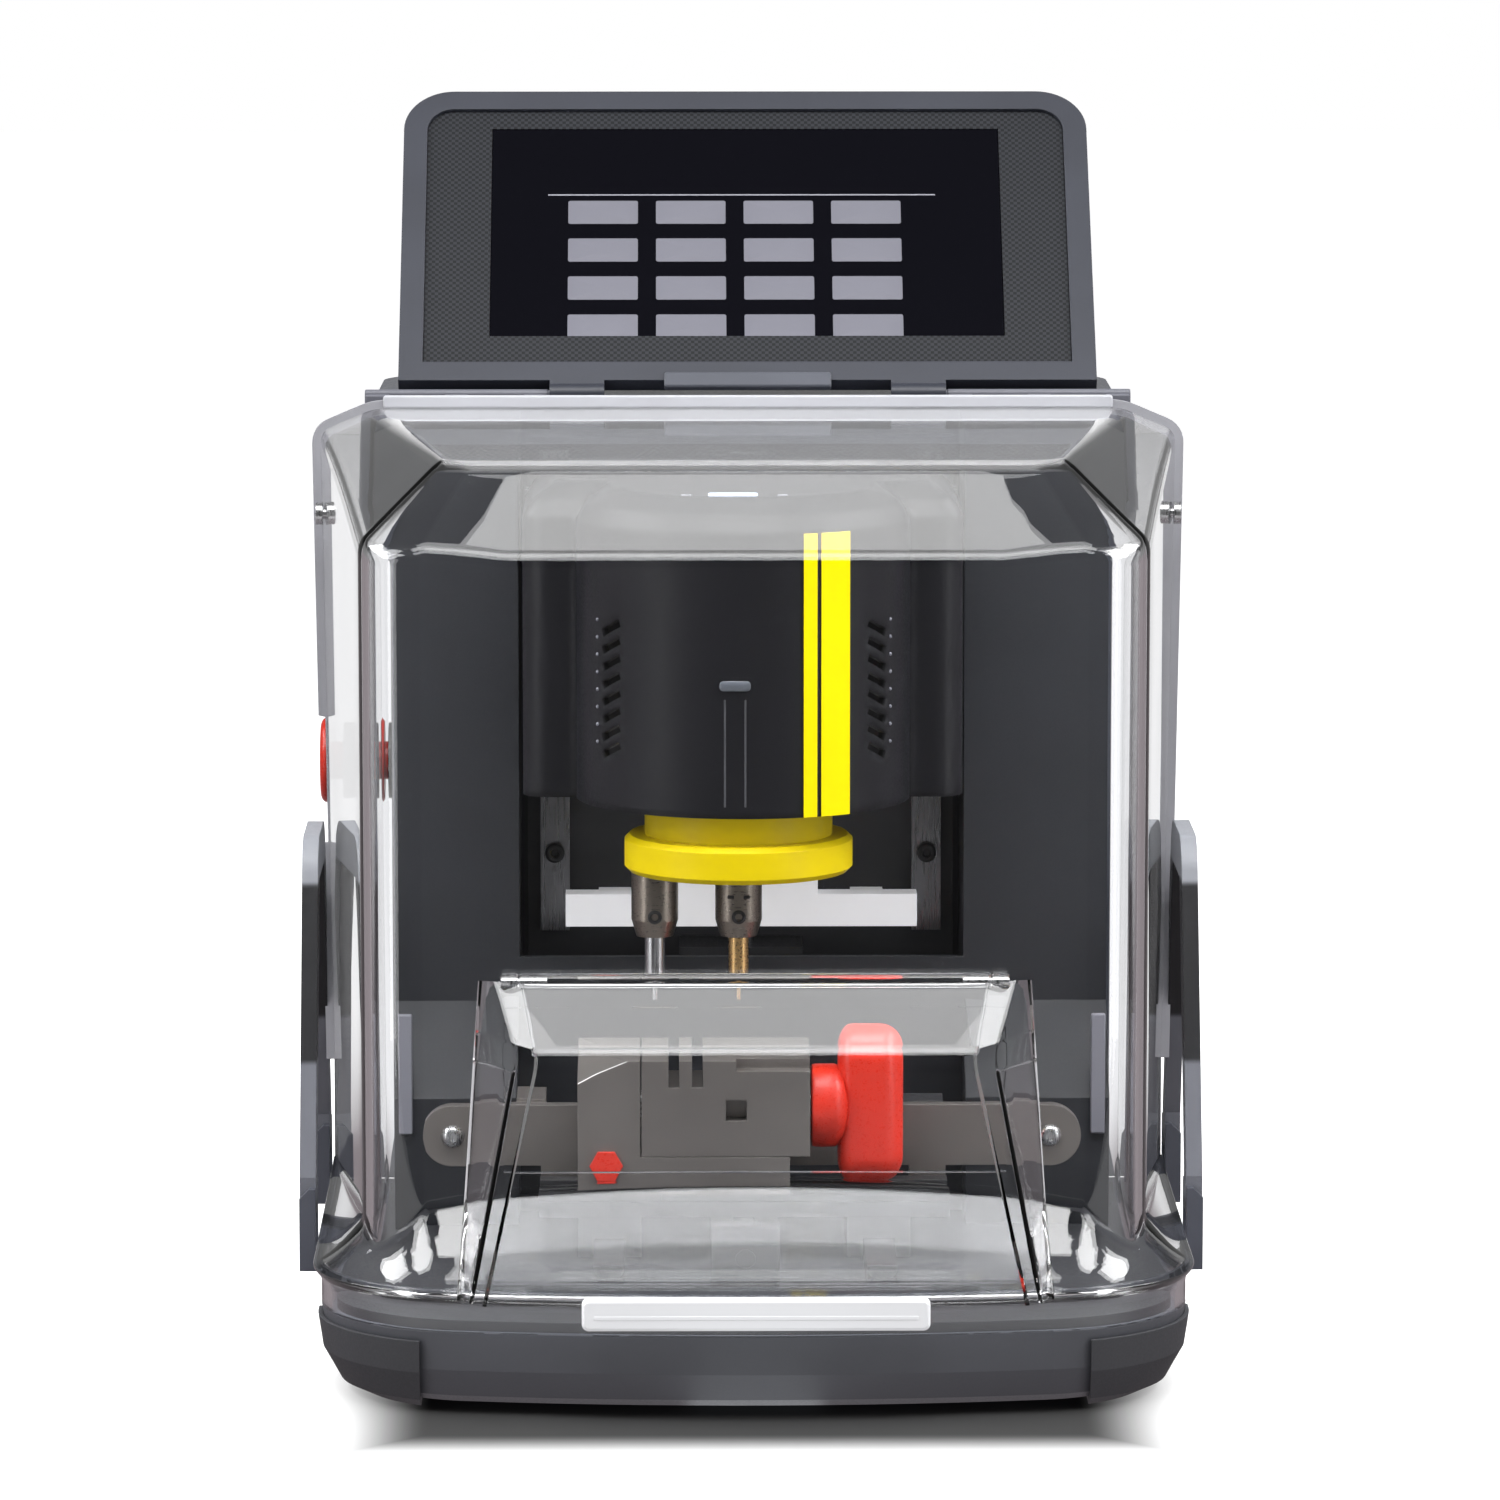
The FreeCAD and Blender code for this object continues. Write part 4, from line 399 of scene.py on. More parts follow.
def rounded_box(half_x: float, half_y: float, corner: float, steps: int = 6) -> Points:
    """Closed outline of a rectangle with round corners.

    Corner k, with signs (s, t), holds the points (s (half_x - corner), t (half_y - corner)) + corner (cos a,
    sin a) for a from k to k + 1 quarter turns.

    Args:
        half_x: half width.
        half_y: half height.
        corner: corner radius.
        steps: spans in each corner.
    Returns:
        Array of (x, y) rows, counterclockwise.
    """
    quarter = np.linspace(0.0, math.pi / 2, steps + 1)
    angle = (np.arange(4)[:, None] * math.pi / 2 + quarter).ravel()
    signs = np.array([[1, 1], [-1, 1], [-1, -1], [1, -1]]).repeat(steps + 1, axis=0)
    centre = signs * (np.array([half_x, half_y]) - corner)
    return centre + corner * np.stack([np.cos(angle), np.sin(angle)], axis=1)


def pad(half_x: float, half_y: float, corner: float, levels: list[tuple[float, float]],
        steps: int = 6) -> Points:
    """Closed pad: a rounded outline drawn in by each level's inset at its height, both ends closed.

    Args:
        half_x: half width at inset 0.
        half_y: half height at inset 0.
        corner: corner radius at inset 0.
        levels: pairs of inset and height, from the back to the front.
        steps: spans in each corner.
    Returns:
        Grid of points (levels + 2, outline, 3).
    """
    rings = []
    for inset, height in levels:
        outline = rounded_box(half_x - inset, half_y - inset, max(corner - inset, 0.02), steps)
        rings.append(np.insert(outline, 2, height, axis=1))
    ends = [ring * np.array([0.0, 0.0, 1.0]) for ring in (rings[0], rings[-1])]
    return np.stack([ends[0], *rings, ends[1]])


def turned(profile: list[tuple[float, float]], steps: int = 40) -> Points:
    """Turned shape: (r cos a, r sin a, h) for each (r, h) of the profile and a round the circle.

    Args:
        profile: pairs of radius and height; a radius of 0 closes an end.
        steps: spans round the circle.
    Returns:
        Grid of points (profile, steps, 3).
    """
    radius, height = np.array(profile).T[:, :, None]
    angle = np.linspace(0.0, 2 * math.pi, steps, endpoint=False)
    return np.stack(np.broadcast_arrays(radius * np.cos(angle), radius * np.sin(angle), height), axis=-1)


def soften(rows: Points, radii: list[float], steps: int = 6) -> Points:
    """Round the bends between rows of control points.

    Each inner row P with radius r becomes the curve (1 - t)^2 A + 2 t (1 - t) P + t^2 B, where A and B lie at
    distance r from P towards its neighbours. A radius of 0 keeps the row.

    Args:
        rows: control points (rows, columns, 3).
        radii: one radius for each row; the ends' radii are not used.
        steps: spans in each curve.
    Returns:
        The finer grid.
    """
    share = np.linspace(0.0, 1.0, steps + 1)[:, None, None]
    made = [rows[:1]]
    for before, here, after, radius in zip(rows[:-2], rows[1:-1], rows[2:], radii[1:-1]):
        if radius == 0.0:
            made.append(here[None])
            continue
        back, ahead = before - here, after - here
        reach_back = np.linalg.norm(back, axis=1, keepdims=True)
        reach_ahead = np.linalg.norm(ahead, axis=1, keepdims=True)
        start = here + back * np.minimum(radius / np.maximum(reach_back, 1e-9), 0.48)
        end = here + ahead * np.minimum(radius / np.maximum(reach_ahead, 1e-9), 0.48)
        made.append((1 - share) ** 2 * start + 2 * share * (1 - share) * here + share ** 2 * end)
    return np.concatenate([*made, rows[-1:]])


def grid_mesh(name: str, grid: Points, ring: bool, keep: Points | None = None) -> bpy.types.Mesh:
    """Mesh from a grid of points in millimetres.

    Quad (i, j) joins the points (i, j), (i, j + 1), (i + 1, j + 1) and (i + 1, j), with j wrapped on a ring.

    Args:
        name: the mesh's name.
        grid: points (rows, columns, 3).
        ring: whether the last column joins the first.
        keep: mask of the quads that are made, or None for all.
    Returns:
        The mesh, with coinciding points merged.
    """
    rows, columns = grid.shape[:2]
    number = np.arange(rows * columns).reshape(rows, columns)
    if ring:
        number = np.concatenate([number, number[:, :1]], axis=1)
    quads = np.stack([number[:-1, :-1], number[:-1, 1:], number[1:, 1:], number[1:, :-1]], axis=-1)
    chosen = quads.reshape(-1, 4) if keep is None else quads[keep]
    used, faces = np.unique(chosen, return_inverse=True)
    mesh = bpy.data.meshes.new(name)
    mesh.from_pydata(grid.reshape(-1, 3)[used] * MM, [], faces.reshape(-1, 4).tolist())
    work = bmesh.new()
    work.from_mesh(mesh)
    bmesh.ops.remove_doubles(work, verts=work.verts, dist=1e-7)
    if ring:
        bmesh.ops.recalc_face_normals(work, faces=work.faces)
    work.to_mesh(mesh)
    work.free()
    mesh.shade_smooth()
    mesh.set_sharp_from_angle(angle=math.radians(SHARP))
    return mesh


def fit(name: str, grid: Points, finish: Finish, body: Body, ring: bool = True,
        keep: Points | None = None) -> bpy.types.Object:
    """Make a piece, give it its finish and let it ride on a body.

    Args:
        name: the piece's name.
        grid: its points in machine coordinates.
        finish: its surface.
        body: the body that carries it.
        ring: whether the grid's columns close.
        keep: mask of the quads that are made.
    Returns:
        The new object.
    """
    piece = bpy.data.objects.new(name, grid_mesh(name, grid, ring, keep))
    bpy.context.scene.collection.objects.link(piece)
    piece.data.materials.append(finish.build())
    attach(piece, body.value)
    LOG.info("%s: %d points on %s", name, len(piece.data.vertices), body.value)
    return piece


def thicken(piece: bpy.types.Object, wall: float) -> None:
    """Give an open skin a wall, inwards, in millimetres, with sharp rims and normals true to flat faces."""
    shell = piece.modifiers.new("wall", "SOLIDIFY")
    shell.thickness = wall * MM
    shell.offset = -1.0
    shell.use_even_offset = True
    piece.data = bpy.data.meshes.new_from_object(piece.evaluated_get(bpy.context.evaluated_depsgraph_get()))
    piece.modifiers.clear()
    piece.data.set_sharp_from_angle(angle=math.radians(SHARP))
    weigh(piece)


def weigh(piece: bpy.types.Object) -> None:
    """Let large faces set the normals, so that a flat wall between soft bends mirrors flat."""
    weights = piece.modifiers.new("flat_walls", "WEIGHTED_NORMAL")
    weights.weight = 90
    weights.keep_sharp = True


@dataclass
class SubAssembly:
    """Group of pieces that share a place in the machine."""

    finishes: dict[str, Finish] = field(default_factory=dict)

    def dress(self) -> None:
        """Put each node's finish on it."""
        for node, finish in self.finishes.items():
            dress(node, finish)

    def build(self) -> None:
        """Make the fine pieces; a plain group has none."""


def box_of(node: str) -> Points:
    """Lowest and highest corner of a frame node's box, in millimetres."""
    return np.array(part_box(node)) / MM


def hand(side: int) -> str:
    """Word for a side: -1 is left and 1 is right."""
    return "left" if side < 0 else "right"


@dataclass
class Base(SubAssembly):
    """Tray, feet, deck and the folding handles."""

    finishes: dict[str, Finish] = field(default_factory=lambda: {
        "base_tray": TRAY, "corner_feet": RUBBER, "base_deck": DECK, "handle_brackets": SLATE,
        "handle_left": GRIP_PAINTED_SHADE, "handle_right": GRIP_PAINTED_SHADE})


@dataclass
class Hood(SubAssembly):
    """Clear hood and its lifting door, each a moulded skin with soft bends.

    The hood's plan is a flared rectangle with round front corners. Its skin climbs from the base's bowed
    outline up a swept apron to that plan, then up the wall, over the sloped shoulder and across the top.
    """

    finishes: dict[str, Finish] = field(default_factory=lambda: {
        "hood_screws": STEEL, "door_hinge_pins": STEEL})
    wall: float = 3.0
    rear: float = 55.0
    front: float = -142.0
    half: float = 129.0
    flare: float = 16.0
    lean: float = 4.0
    roof_reach: float = 46.0
    wall_round: float = 19.0
    base_half: float = 130.0
    base_front: float = -172.0
    base_round: float = 52.0
    bow: float = 520.0
    rim_inset: float = 3.0
    rim_heights: tuple[float, float, float] = (25.0, 33.0, 36.5)
    apron_run: float = 39.5
    apron_rise: float = 41.9
    apron_curl: float = 1.4
    way_half: float = 72.0
    way_heights: tuple[float, float] = (68.0, 116.0)
    bend_height: float = 247.0
    top_height: float = 272.5
    top_draw: tuple[float, float] = (13.0, 28.0)
    top_round: float = 10.0
    top_flare: float = 26.0
    side_steps: int = 9
    arc_steps: int = 13
    level: float = 0.99
    flange_in: float = 119.0
    flange_deep: float = 3.0
    flange_span: tuple[float, float] = (146.0, 116.0)
    door_axis: tuple[float, float] = (-144.8, 124.7)
    door_halves: tuple[float, float, float] = (80.0, 81.3, 86.0)
    door_fold: tuple[float, float] = (-165.0, 105.3)
    door_low: tuple[float, float] = (-174.6, 35.4)
    door_back: float = -142.6
    door_gap: float = 0.6
    door_wall: float = 2.5
    door_fronts: tuple[float, float, float] = (82.5, 69.5, 76.0)
    door_cuts: tuple[float, float, float] = (4.0, 6.5, 9.0)
    trim: tuple[float, float, float] = (2.3, 2.5, 45.0)
    trim_notch: tuple[float, float, float, float] = (136.0, 176.0, 0.2, 0.5)
    trim_seat: float = 0.4
    lip: tuple[float, float, float] = (113.0, 2.0, 51.5)
    knuckle: float = 2.4
    broken: float = 0.4
    knuckle_half: float = 68.0
    lug: float = 5.0
    grip: tuple[float, float, float, float] = (50.0, 4.7, -172.5, 32.8)

    def plan(self, half: float, front: float, radius: float, flare: float) -> Points:
        """Flared plan from its rear left corner round the front to its rear right corner.

        With the side leaning by w, half of the corner's turn is h = (90 + w) / 2 degrees, and the arc touches
        both sides at radius / tan(h) from the sharp corner.

        Args:
            half: half width at the rear.
            front: the front's place along Y.
            radius: radius of the front corners.
            flare: how much narrower the front is, at each side.
        Returns:
            Array of (x, y) rows.
        """
        lean = math.atan2(flare, self.rear - front)
        turn = (math.pi / 2 + lean) / 2
        touch = radius / math.tan(turn)
        sharp = np.array([half - flare, front])
        side = np.array([math.sin(lean), math.cos(lean)])
        centre = sharp + np.array([-touch, radius])
        angle = np.linspace(-lean, -math.pi / 2, self.arc_steps)
        arc = centre + radius * np.stack([np.cos(angle), np.sin(angle)], axis=1)
        along = np.linspace(0.0, 1.0, self.side_steps)[:, None]
        right = np.array([half, self.rear]) * (1 - along) + (sharp + side * touch) * along
        flat = sharp[0] - touch
        edge = np.linspace(flat, self.way_half, 4)[1:]
        across = np.concatenate([edge, np.linspace(self.way_half, -self.way_half, 17)[1:], -edge[::-1][1:]])
        front_row = np.stack([across, np.full(len(across), front)], axis=1)
        curve = np.concatenate([right, arc[1:]])
        mirror = curve[::-1] * np.array([-1.0, 1.0])
        return np.concatenate([curve, front_row, mirror])[::-1]

    def lean_at(self, height: float | Points) -> float | Points:
        """How far the rear ends of the sides lean out at a height."""
        return self.lean * (height - self.rim_heights[0]) / (self.top_height - self.rim_heights[0])

    def wall_plan(self, height: float) -> Points:
        """Plan of the walls at a height, wider at the rear towards the top."""
        lean = self.lean_at(height)
        return self.plan(self.half + lean, self.front, self.wall_round, self.flare + lean)

    def roof_rows(self) -> tuple[Points, Points]:
        """Rows where the roof's slope leaves the walls, and where it meets the top.

        The slope joins a wide plan L at the bend's height to the top's plan T. It leaves the wall W at the
        share |L - W| / |L - T| of its rise, which is 0 on the front and grows along the sides.
        """
        wide = self.plan(self.half + self.roof_reach, self.front, self.wall_round,
                         self.flare + self.roof_reach)
        top = self.plan(self.half - self.top_draw[0], self.front + self.top_draw[1], self.top_round,
                        self.top_flare)
        low_wall, high_wall = self.wall_plan(self.bend_height), self.wall_plan(self.top_height)
        share = np.linalg.norm(wide - low_wall, axis=1) / np.linalg.norm(wide - top, axis=1)
        wall = low_wall + (high_wall - low_wall) * share[:, None]
        height = self.bend_height + (self.top_height - self.bend_height) * share
        return self.raised(wall, height), self.raised(top, self.top_height)

    def base_plan(self, inset: float) -> Points:
        """Base outline with the same count of points as the flared plan, from rear left to rear right.

        The corner circle touches the side and the bow: its centre is at x = base_half - r, and at the
        distance bow - r from the bow's centre.
        """
        middle_x = self.base_half - self.base_round
        bow_y = self.base_front + self.bow
        middle_y = bow_y - math.sqrt((self.bow - self.base_round) ** 2 - middle_x ** 2)
        meet = math.atan2(middle_y - bow_y, middle_x)
        along = np.linspace(self.rear, middle_y, self.side_steps)
        right = np.stack([np.full(self.side_steps, self.base_half - inset), along], axis=1)
        angle = np.linspace(0.0, meet, self.arc_steps)
        arc = np.array([middle_x, middle_y]) + (self.base_round - inset) * np.stack(
            [np.cos(angle), np.sin(angle)], axis=1)
        count = len(self.wall_plan(0.0)) - 2 * (self.side_steps + self.arc_steps - 1)
        sweep = np.linspace(meet, -math.pi - meet, count + 2)[1:-1]
        front_row = np.array([0.0, bow_y]) + (self.bow - inset) * np.stack(
            [np.cos(sweep), np.sin(sweep)], axis=1)
        curve = np.concatenate([right, arc[1:]])
        mirror = curve[::-1] * np.array([-1.0, 1.0])
        return np.concatenate([curve, front_row, mirror])[::-1]

    def raised(self, plan: Points, height: float | Points) -> Points:
        """A plan at a height."""
        return np.column_stack([plan, np.broadcast_to(height, len(plan))])

    def skin(self) -> tuple[Points, Points]:
        """Grid of the hood's outer face, and the mask of its quads with the door way left out.

        On the apron, the point at share s lies at distance d = s |wall - base| from the base's outline and at
        height z = z0 + rise (d / run) ^ curl.
        """
        wall = self.wall_plan(self.way_heights[0])
        base = self.base_plan(0.0)
        rim = self.base_plan(self.rim_inset)
        gap = np.linalg.norm(wall - base, axis=1)
        rows = [self.raised(rim, self.rim_heights[0]), self.raised(rim, self.rim_heights[1])]
        radii = [0.0, 1.5]
        for share in (0.0, 0.2, 0.4, 0.6, 0.8, 1.0):
            height = self.rim_heights[2] + self.apron_rise * (share * gap / self.apron_run) ** self.apron_curl
            rows.append(self.raised(base + (wall - base) * share, height))
            radii.append(1.5 if share in (0.0, 1.0) else 2.5)
        rows += [self.raised(self.wall_plan(height), height) for height in self.way_heights]
        bend, top = self.roof_rows()
        rows += [bend, top, top * 0.0 + np.array([0.0, self.rear, self.top_height])]
        radii += [0.0, 0.0, 4.0, 4.0, 0.0]
        grid = soften(np.stack(rows), radii)
        middle = (grid[:-1, :-1] + grid[1:, 1:]) / 2
        low, high = self.way_heights
        in_way = ((np.abs(middle[..., 0]) < self.way_half) & (middle[..., 2] > low) & (middle[..., 2] < high)
                  & (middle[..., 1] < self.front + 1.0))
        return grid, ~in_way

    def veil_top_painted_sheen(self, hood: bpy.types.Object) -> None:
        """Give the faces of the flat top their own, slightly misty finish: a painted sheen that makes the top
        lighter under the lamps.
        """
        faces = hood.data.polygons
        normals = np.empty(len(faces) * 3)
        faces.foreach_get("normal", normals)
        hood.data.materials.append(TOP_CLEAR_PAINTED_SHEEN.build())
        faces.foreach_set("material_index", (normals.reshape(-1, 3)[:, 2] > self.level).astype(np.int32))

    def door_seat(self) -> tuple[float, float]:
        """Rim of the base under the door's side, as its place along Y, and the apron's height on the wall."""
        half = self.door_halves[-1]
        rim = self.base_front + self.bow - math.sqrt(self.bow ** 2 - half ** 2)
        rise = self.apron_rise * ((self.front - rim) / self.apron_run) ** self.apron_curl
        return rim, self.rim_heights[2] + rise

    def door_edge(self, height: float) -> float:
        """Where the door's side ends at a height: just in front of the apron, or of the wall above it."""
        rim = self.door_seat()[0]
        share = max(height - self.rim_heights[2], 0.0) / self.apron_rise
        return min(self.door_back, rim + self.apron_run * share ** (1 / self.apron_curl) - self.door_gap)

    def door_skin(self) -> Points:
        """Grid of the door's outer face: U-shaped rows from its lower edge over the fold to its top edge.

        Each row runs from the hood along a side that draws in to the front, across a flat corner that is cut
        off the side's front end, and along the front.
        """
        rows = []
        ends = [self.door_low, self.door_fold, (self.door_axis[0] - self.knuckle, self.door_axis[1])]
        known = np.array(ends)[:, 1]
        heights = np.concatenate([np.linspace(self.door_low[1], self.door_seat()[1], 8), known[1:]])
        places = np.interp(heights, known, np.array(ends)[:, 0])
        halves = np.interp(heights, known, np.array(self.door_halves)[::-1])
        fronts = np.interp(heights, known, self.door_fronts)
        cuts = np.interp(heights, known, self.door_cuts)
        share = np.linspace(0.0, 1.0, 9)[:, None]
        for place, height, half, narrow, cut in zip(places, heights, halves, fronts, cuts):
            back = self.door_edge(height)
            deep = min(cut, 0.8 * (back - place))
            outer, inner = np.array([narrow, place + deep]), np.array([narrow - cut, place])
            side = np.array([half, back]) * (1 - share[:-1:2]) + outer * share[:-1:2]
            right = np.concatenate([side, outer * (1 - share) + inner * share])
            across = np.linspace(inner[0], -inner[0], 20)[1:-1]
            front_row = np.stack([across, np.full(18, place)], axis=1)
            outline = np.concatenate([right, front_row, right[::-1] * np.array([-1.0, 1.0])])[::-1]
            rows.append(self.raised(outline, height))
        return soften(np.stack(rows), [0.0] * (len(rows) - 2) + [5.0, 0.0], 8)

    def edge_trim(self, edge: Points) -> Points:
        """Grey trim carried up the hood's rear edge, standing out from it.

        The path is P, its outward direction N is the path's tangent turned by a quarter, and the four corners
        of the profile are P - seat N and P + wide N, each at the rear edge and `deep` in front of it. On the
        left the trim is thin between the notch's heights, where the stop button stands behind it.

        Args:
            edge: points of the hood's rear edge, from the base to the top.
        Returns:
            Closed grid of points (rows, 4, 3).
        """
        wide, deep, low = self.trim
        path = edge[edge[:, 2] > low]
        side = np.sign(path[0, 0])
        if side < 0.0:
            start, end, thin, step = self.trim_notch
            heights = np.sort(np.concatenate([path[:, 2], [start, start + step, end, end + step]]))
            path = np.stack([np.interp(heights, path[:, 2], path[:, axis]) for axis in range(3)], axis=1)
            wide = np.where((heights > start) & (heights <= end), thin, wide)[:, None]
        along = np.gradient(path, axis=0)
        along /= np.linalg.norm(along, axis=1, keepdims=True)
        out = np.cross(along, np.array([0.0, 1.0, 0.0])) * -side
        forward = np.array([0.0, -deep, 0.0])
        inner, outer = path - self.trim_seat * out, path + wide * out
        ring = np.stack([inner, outer, outer + forward, inner + forward], axis=1)
        ends = [np.repeat(row.mean(axis=0)[None], 4, axis=0) for row in (ring[0], ring[-1])]
        return np.concatenate([ends[0][None], ring, ends[1][None]])

    def rod(self, name: str, start: float, end: float, finish: Finish, body: Body) -> None:
        """Round bar on the door's axis with broken edges, as one turned piece."""
        r, cut = self.knuckle, self.broken
        shape = turned([(0, start), (r - cut, start), (r, start + cut), (r, end - cut), (r - cut, end),
                        (0, end)])
        place = Place((0.0, *self.door_axis), right=(0.0, 1.0, 0.0), up=(0.0, 0.0, 1.0))
        fit(name, place.at(shape), finish, body)

    def build(self) -> None:
        """Hood skin, its rear flanges and lugs, door skin, hinge barrel and frosted grip with a painted glow.
        """
        grid, keep = self.skin()
        hood = fit("hood_skin", grid, CLEAR, Body.FRAME, ring=False, keep=keep)
        self.veil_top_painted_sheen(hood)
        thicken(hood, self.wall)
        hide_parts("hood")
        for side in (-1, 1):
            middle, tall = self.flange_span
            flange = facing_front(0.0, self.rear, middle).at(
                pad(0.5, tall, 0.1, [(0.0, 0.0), (0.0, self.flange_deep)], 2))
            room = self.half + self.lean_at(flange[..., 2]) - self.wall - 0.2 - self.flange_in
            flange[..., 0] = side * (self.flange_in + (flange[..., 0] + 0.5) * room)
            fit(f"hood_flange_{hand(side)}", flange, CLEAR, Body.FRAME)
            edge = grid[:-1, 0 if side < 0 else -1]
            fit(f"hood_trim_{hand(side)}", self.edge_trim(edge), TRIM, Body.FRAME)
            inner = self.knuckle_half + 0.4
            ends = sorted((side * inner, side * (inner + self.lug)))
            self.rod(f"door_lug_{hand(side)}", ends[0], ends[1], CLEAR, Body.FRAME)
        wide, high, back = self.lip
        lip = pad(wide, high, 1.0, [(0.0, 0.0), (0.0, 1.0), (0.5, 1.5)])
        fit("hood_lip", facing_front(0.0, back, self.top_height + high).at(lip), LIP, Body.FRAME)
        door = fit("door_skin", self.door_skin(), DOOR_CLEAR, Body.DOOR, ring=False)
        thicken(door, self.door_wall)
        self.rod("door_barrel", -self.knuckle_half, self.knuckle_half, DOOR_CLEAR, Body.DOOR)
        half, high, back, middle = self.grip
        lip = pad(half, high, 2.0, [(0.0, 0.0), (0.0, 2.2), (0.9, 3.3)])
        fit("door_grip", facing_front(0.0, back, middle).at(lip), FROSTED_PAINTED_GLOW, Body.DOOR)
        ridge = pad(half - 3.0, 1.0, 0.8, [(0.0, 0.0), (0.0, 0.6), (0.5, 1.0)])
        fit("door_grip_ridge", facing_front(0.0, back - 2.4, middle - 0.8).at(ridge), FROSTED_PAINTED_GLOW, Body.DOOR)
        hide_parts("door_panel")


@dataclass
class RearHousing(SubAssembly):
    """Rear cover with the stop button, the inlet and what is inside it."""

    finishes: dict[str, Finish] = field(default_factory=lambda: {
        "rear_housing": SLATE, "stop_collar": BLACK, "control_board": BOARD,
        "power_supply": CAN, "power_inlet": BLACK, "power_rocker": BLACK})
    dome: float = 2.6
    cap: float = 13.5
    stem: float = 6.0

    def build(self) -> None:
        """Stop button with a rounded mushroom cap: the rim is a quarter ellipse, dome deep."""
        low, high = box_of("stop_button")
        middle = (low + high) / 2
        angle = np.linspace(0.0, math.pi / 2, 10)
        rim = np.stack([self.cap - self.dome + self.dome * np.sin(angle), 2.0 * (1 - np.cos(angle))], axis=1)
        profile = [(0.0, 0.0), *map(tuple, rim), (self.cap - 1.0, 5.2), (self.stem, 5.2),
                   (self.stem, high[0] - low[0]), (0.0, high[0] - low[0])]
        place = Place((low[0], middle[1], middle[2]), right=(0.0, 1.0, 0.0), up=(0.0, 0.0, 1.0))
        button = fit("stop_cap", place.at(turned(profile, 64)), RED, Body.STOP)
        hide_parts("stop_button")


@dataclass
class Chamber(SubAssembly):
    """Liner, column, rails and lamp behind the head."""

    finishes: dict[str, Finish] = field(default_factory=lambda: {
        "chamber_liner": LINER, "column": DECK, "z_rails": RAIL, "y_rails": DARK_STEEL, "light_bar": WHITE,
        "axis_motors": CAN, "screw_bearings": DARK_STEEL, "z_screw": STEEL, "y_screw": DARK_STEEL})
    strip_x: float = 107.5
    strip_half: tuple[float, float] = (3.2, 18.5)
    strip_z: float = 76.0
    sunk: float = 0.1
    rail_screws: tuple[float, float] = (-60.0, 55.0)
    rail_screw_z: float = 136.4

    def build(self) -> None:
        """Pale strips on the liner's sides, a painted reflection on its side walls, and the black screws of
        the head rails.
        """
        shelf_y = box_of("chamber_liner")[0, 1]
        # pale strip standing in for the reflection on the liner's side wall: a painted reflection
        strip = pad(*self.strip_half, 0.8, [(0.0, 0.0), (0.0, 1.2), (0.4, 1.6)])
        for side in (-1, 1):
            place = facing_front(side * self.strip_x, shelf_y - self.sunk, self.strip_z)
            fit(f"liner_strip_{hand(side)}", place.at(strip), PALE_MARKS_AND_PAINTED_GLINTS, Body.FRAME)
        rail_y = box_of("z_rails")[0, 1]
        head = turned([(0.0, 0.0), (3.0, 0.0), (3.0, 1.8), (2.4, 2.4), (1.4, 2.4), (1.2, 1.0), (0.0, 1.0)])
        for number, x in enumerate(self.rail_screws):
            place = facing_front(x, rail_y - self.sunk, self.rail_screw_z)
            fit(f"rail_screw_{number}", place.at(head), BLACK, Body.FRAME)


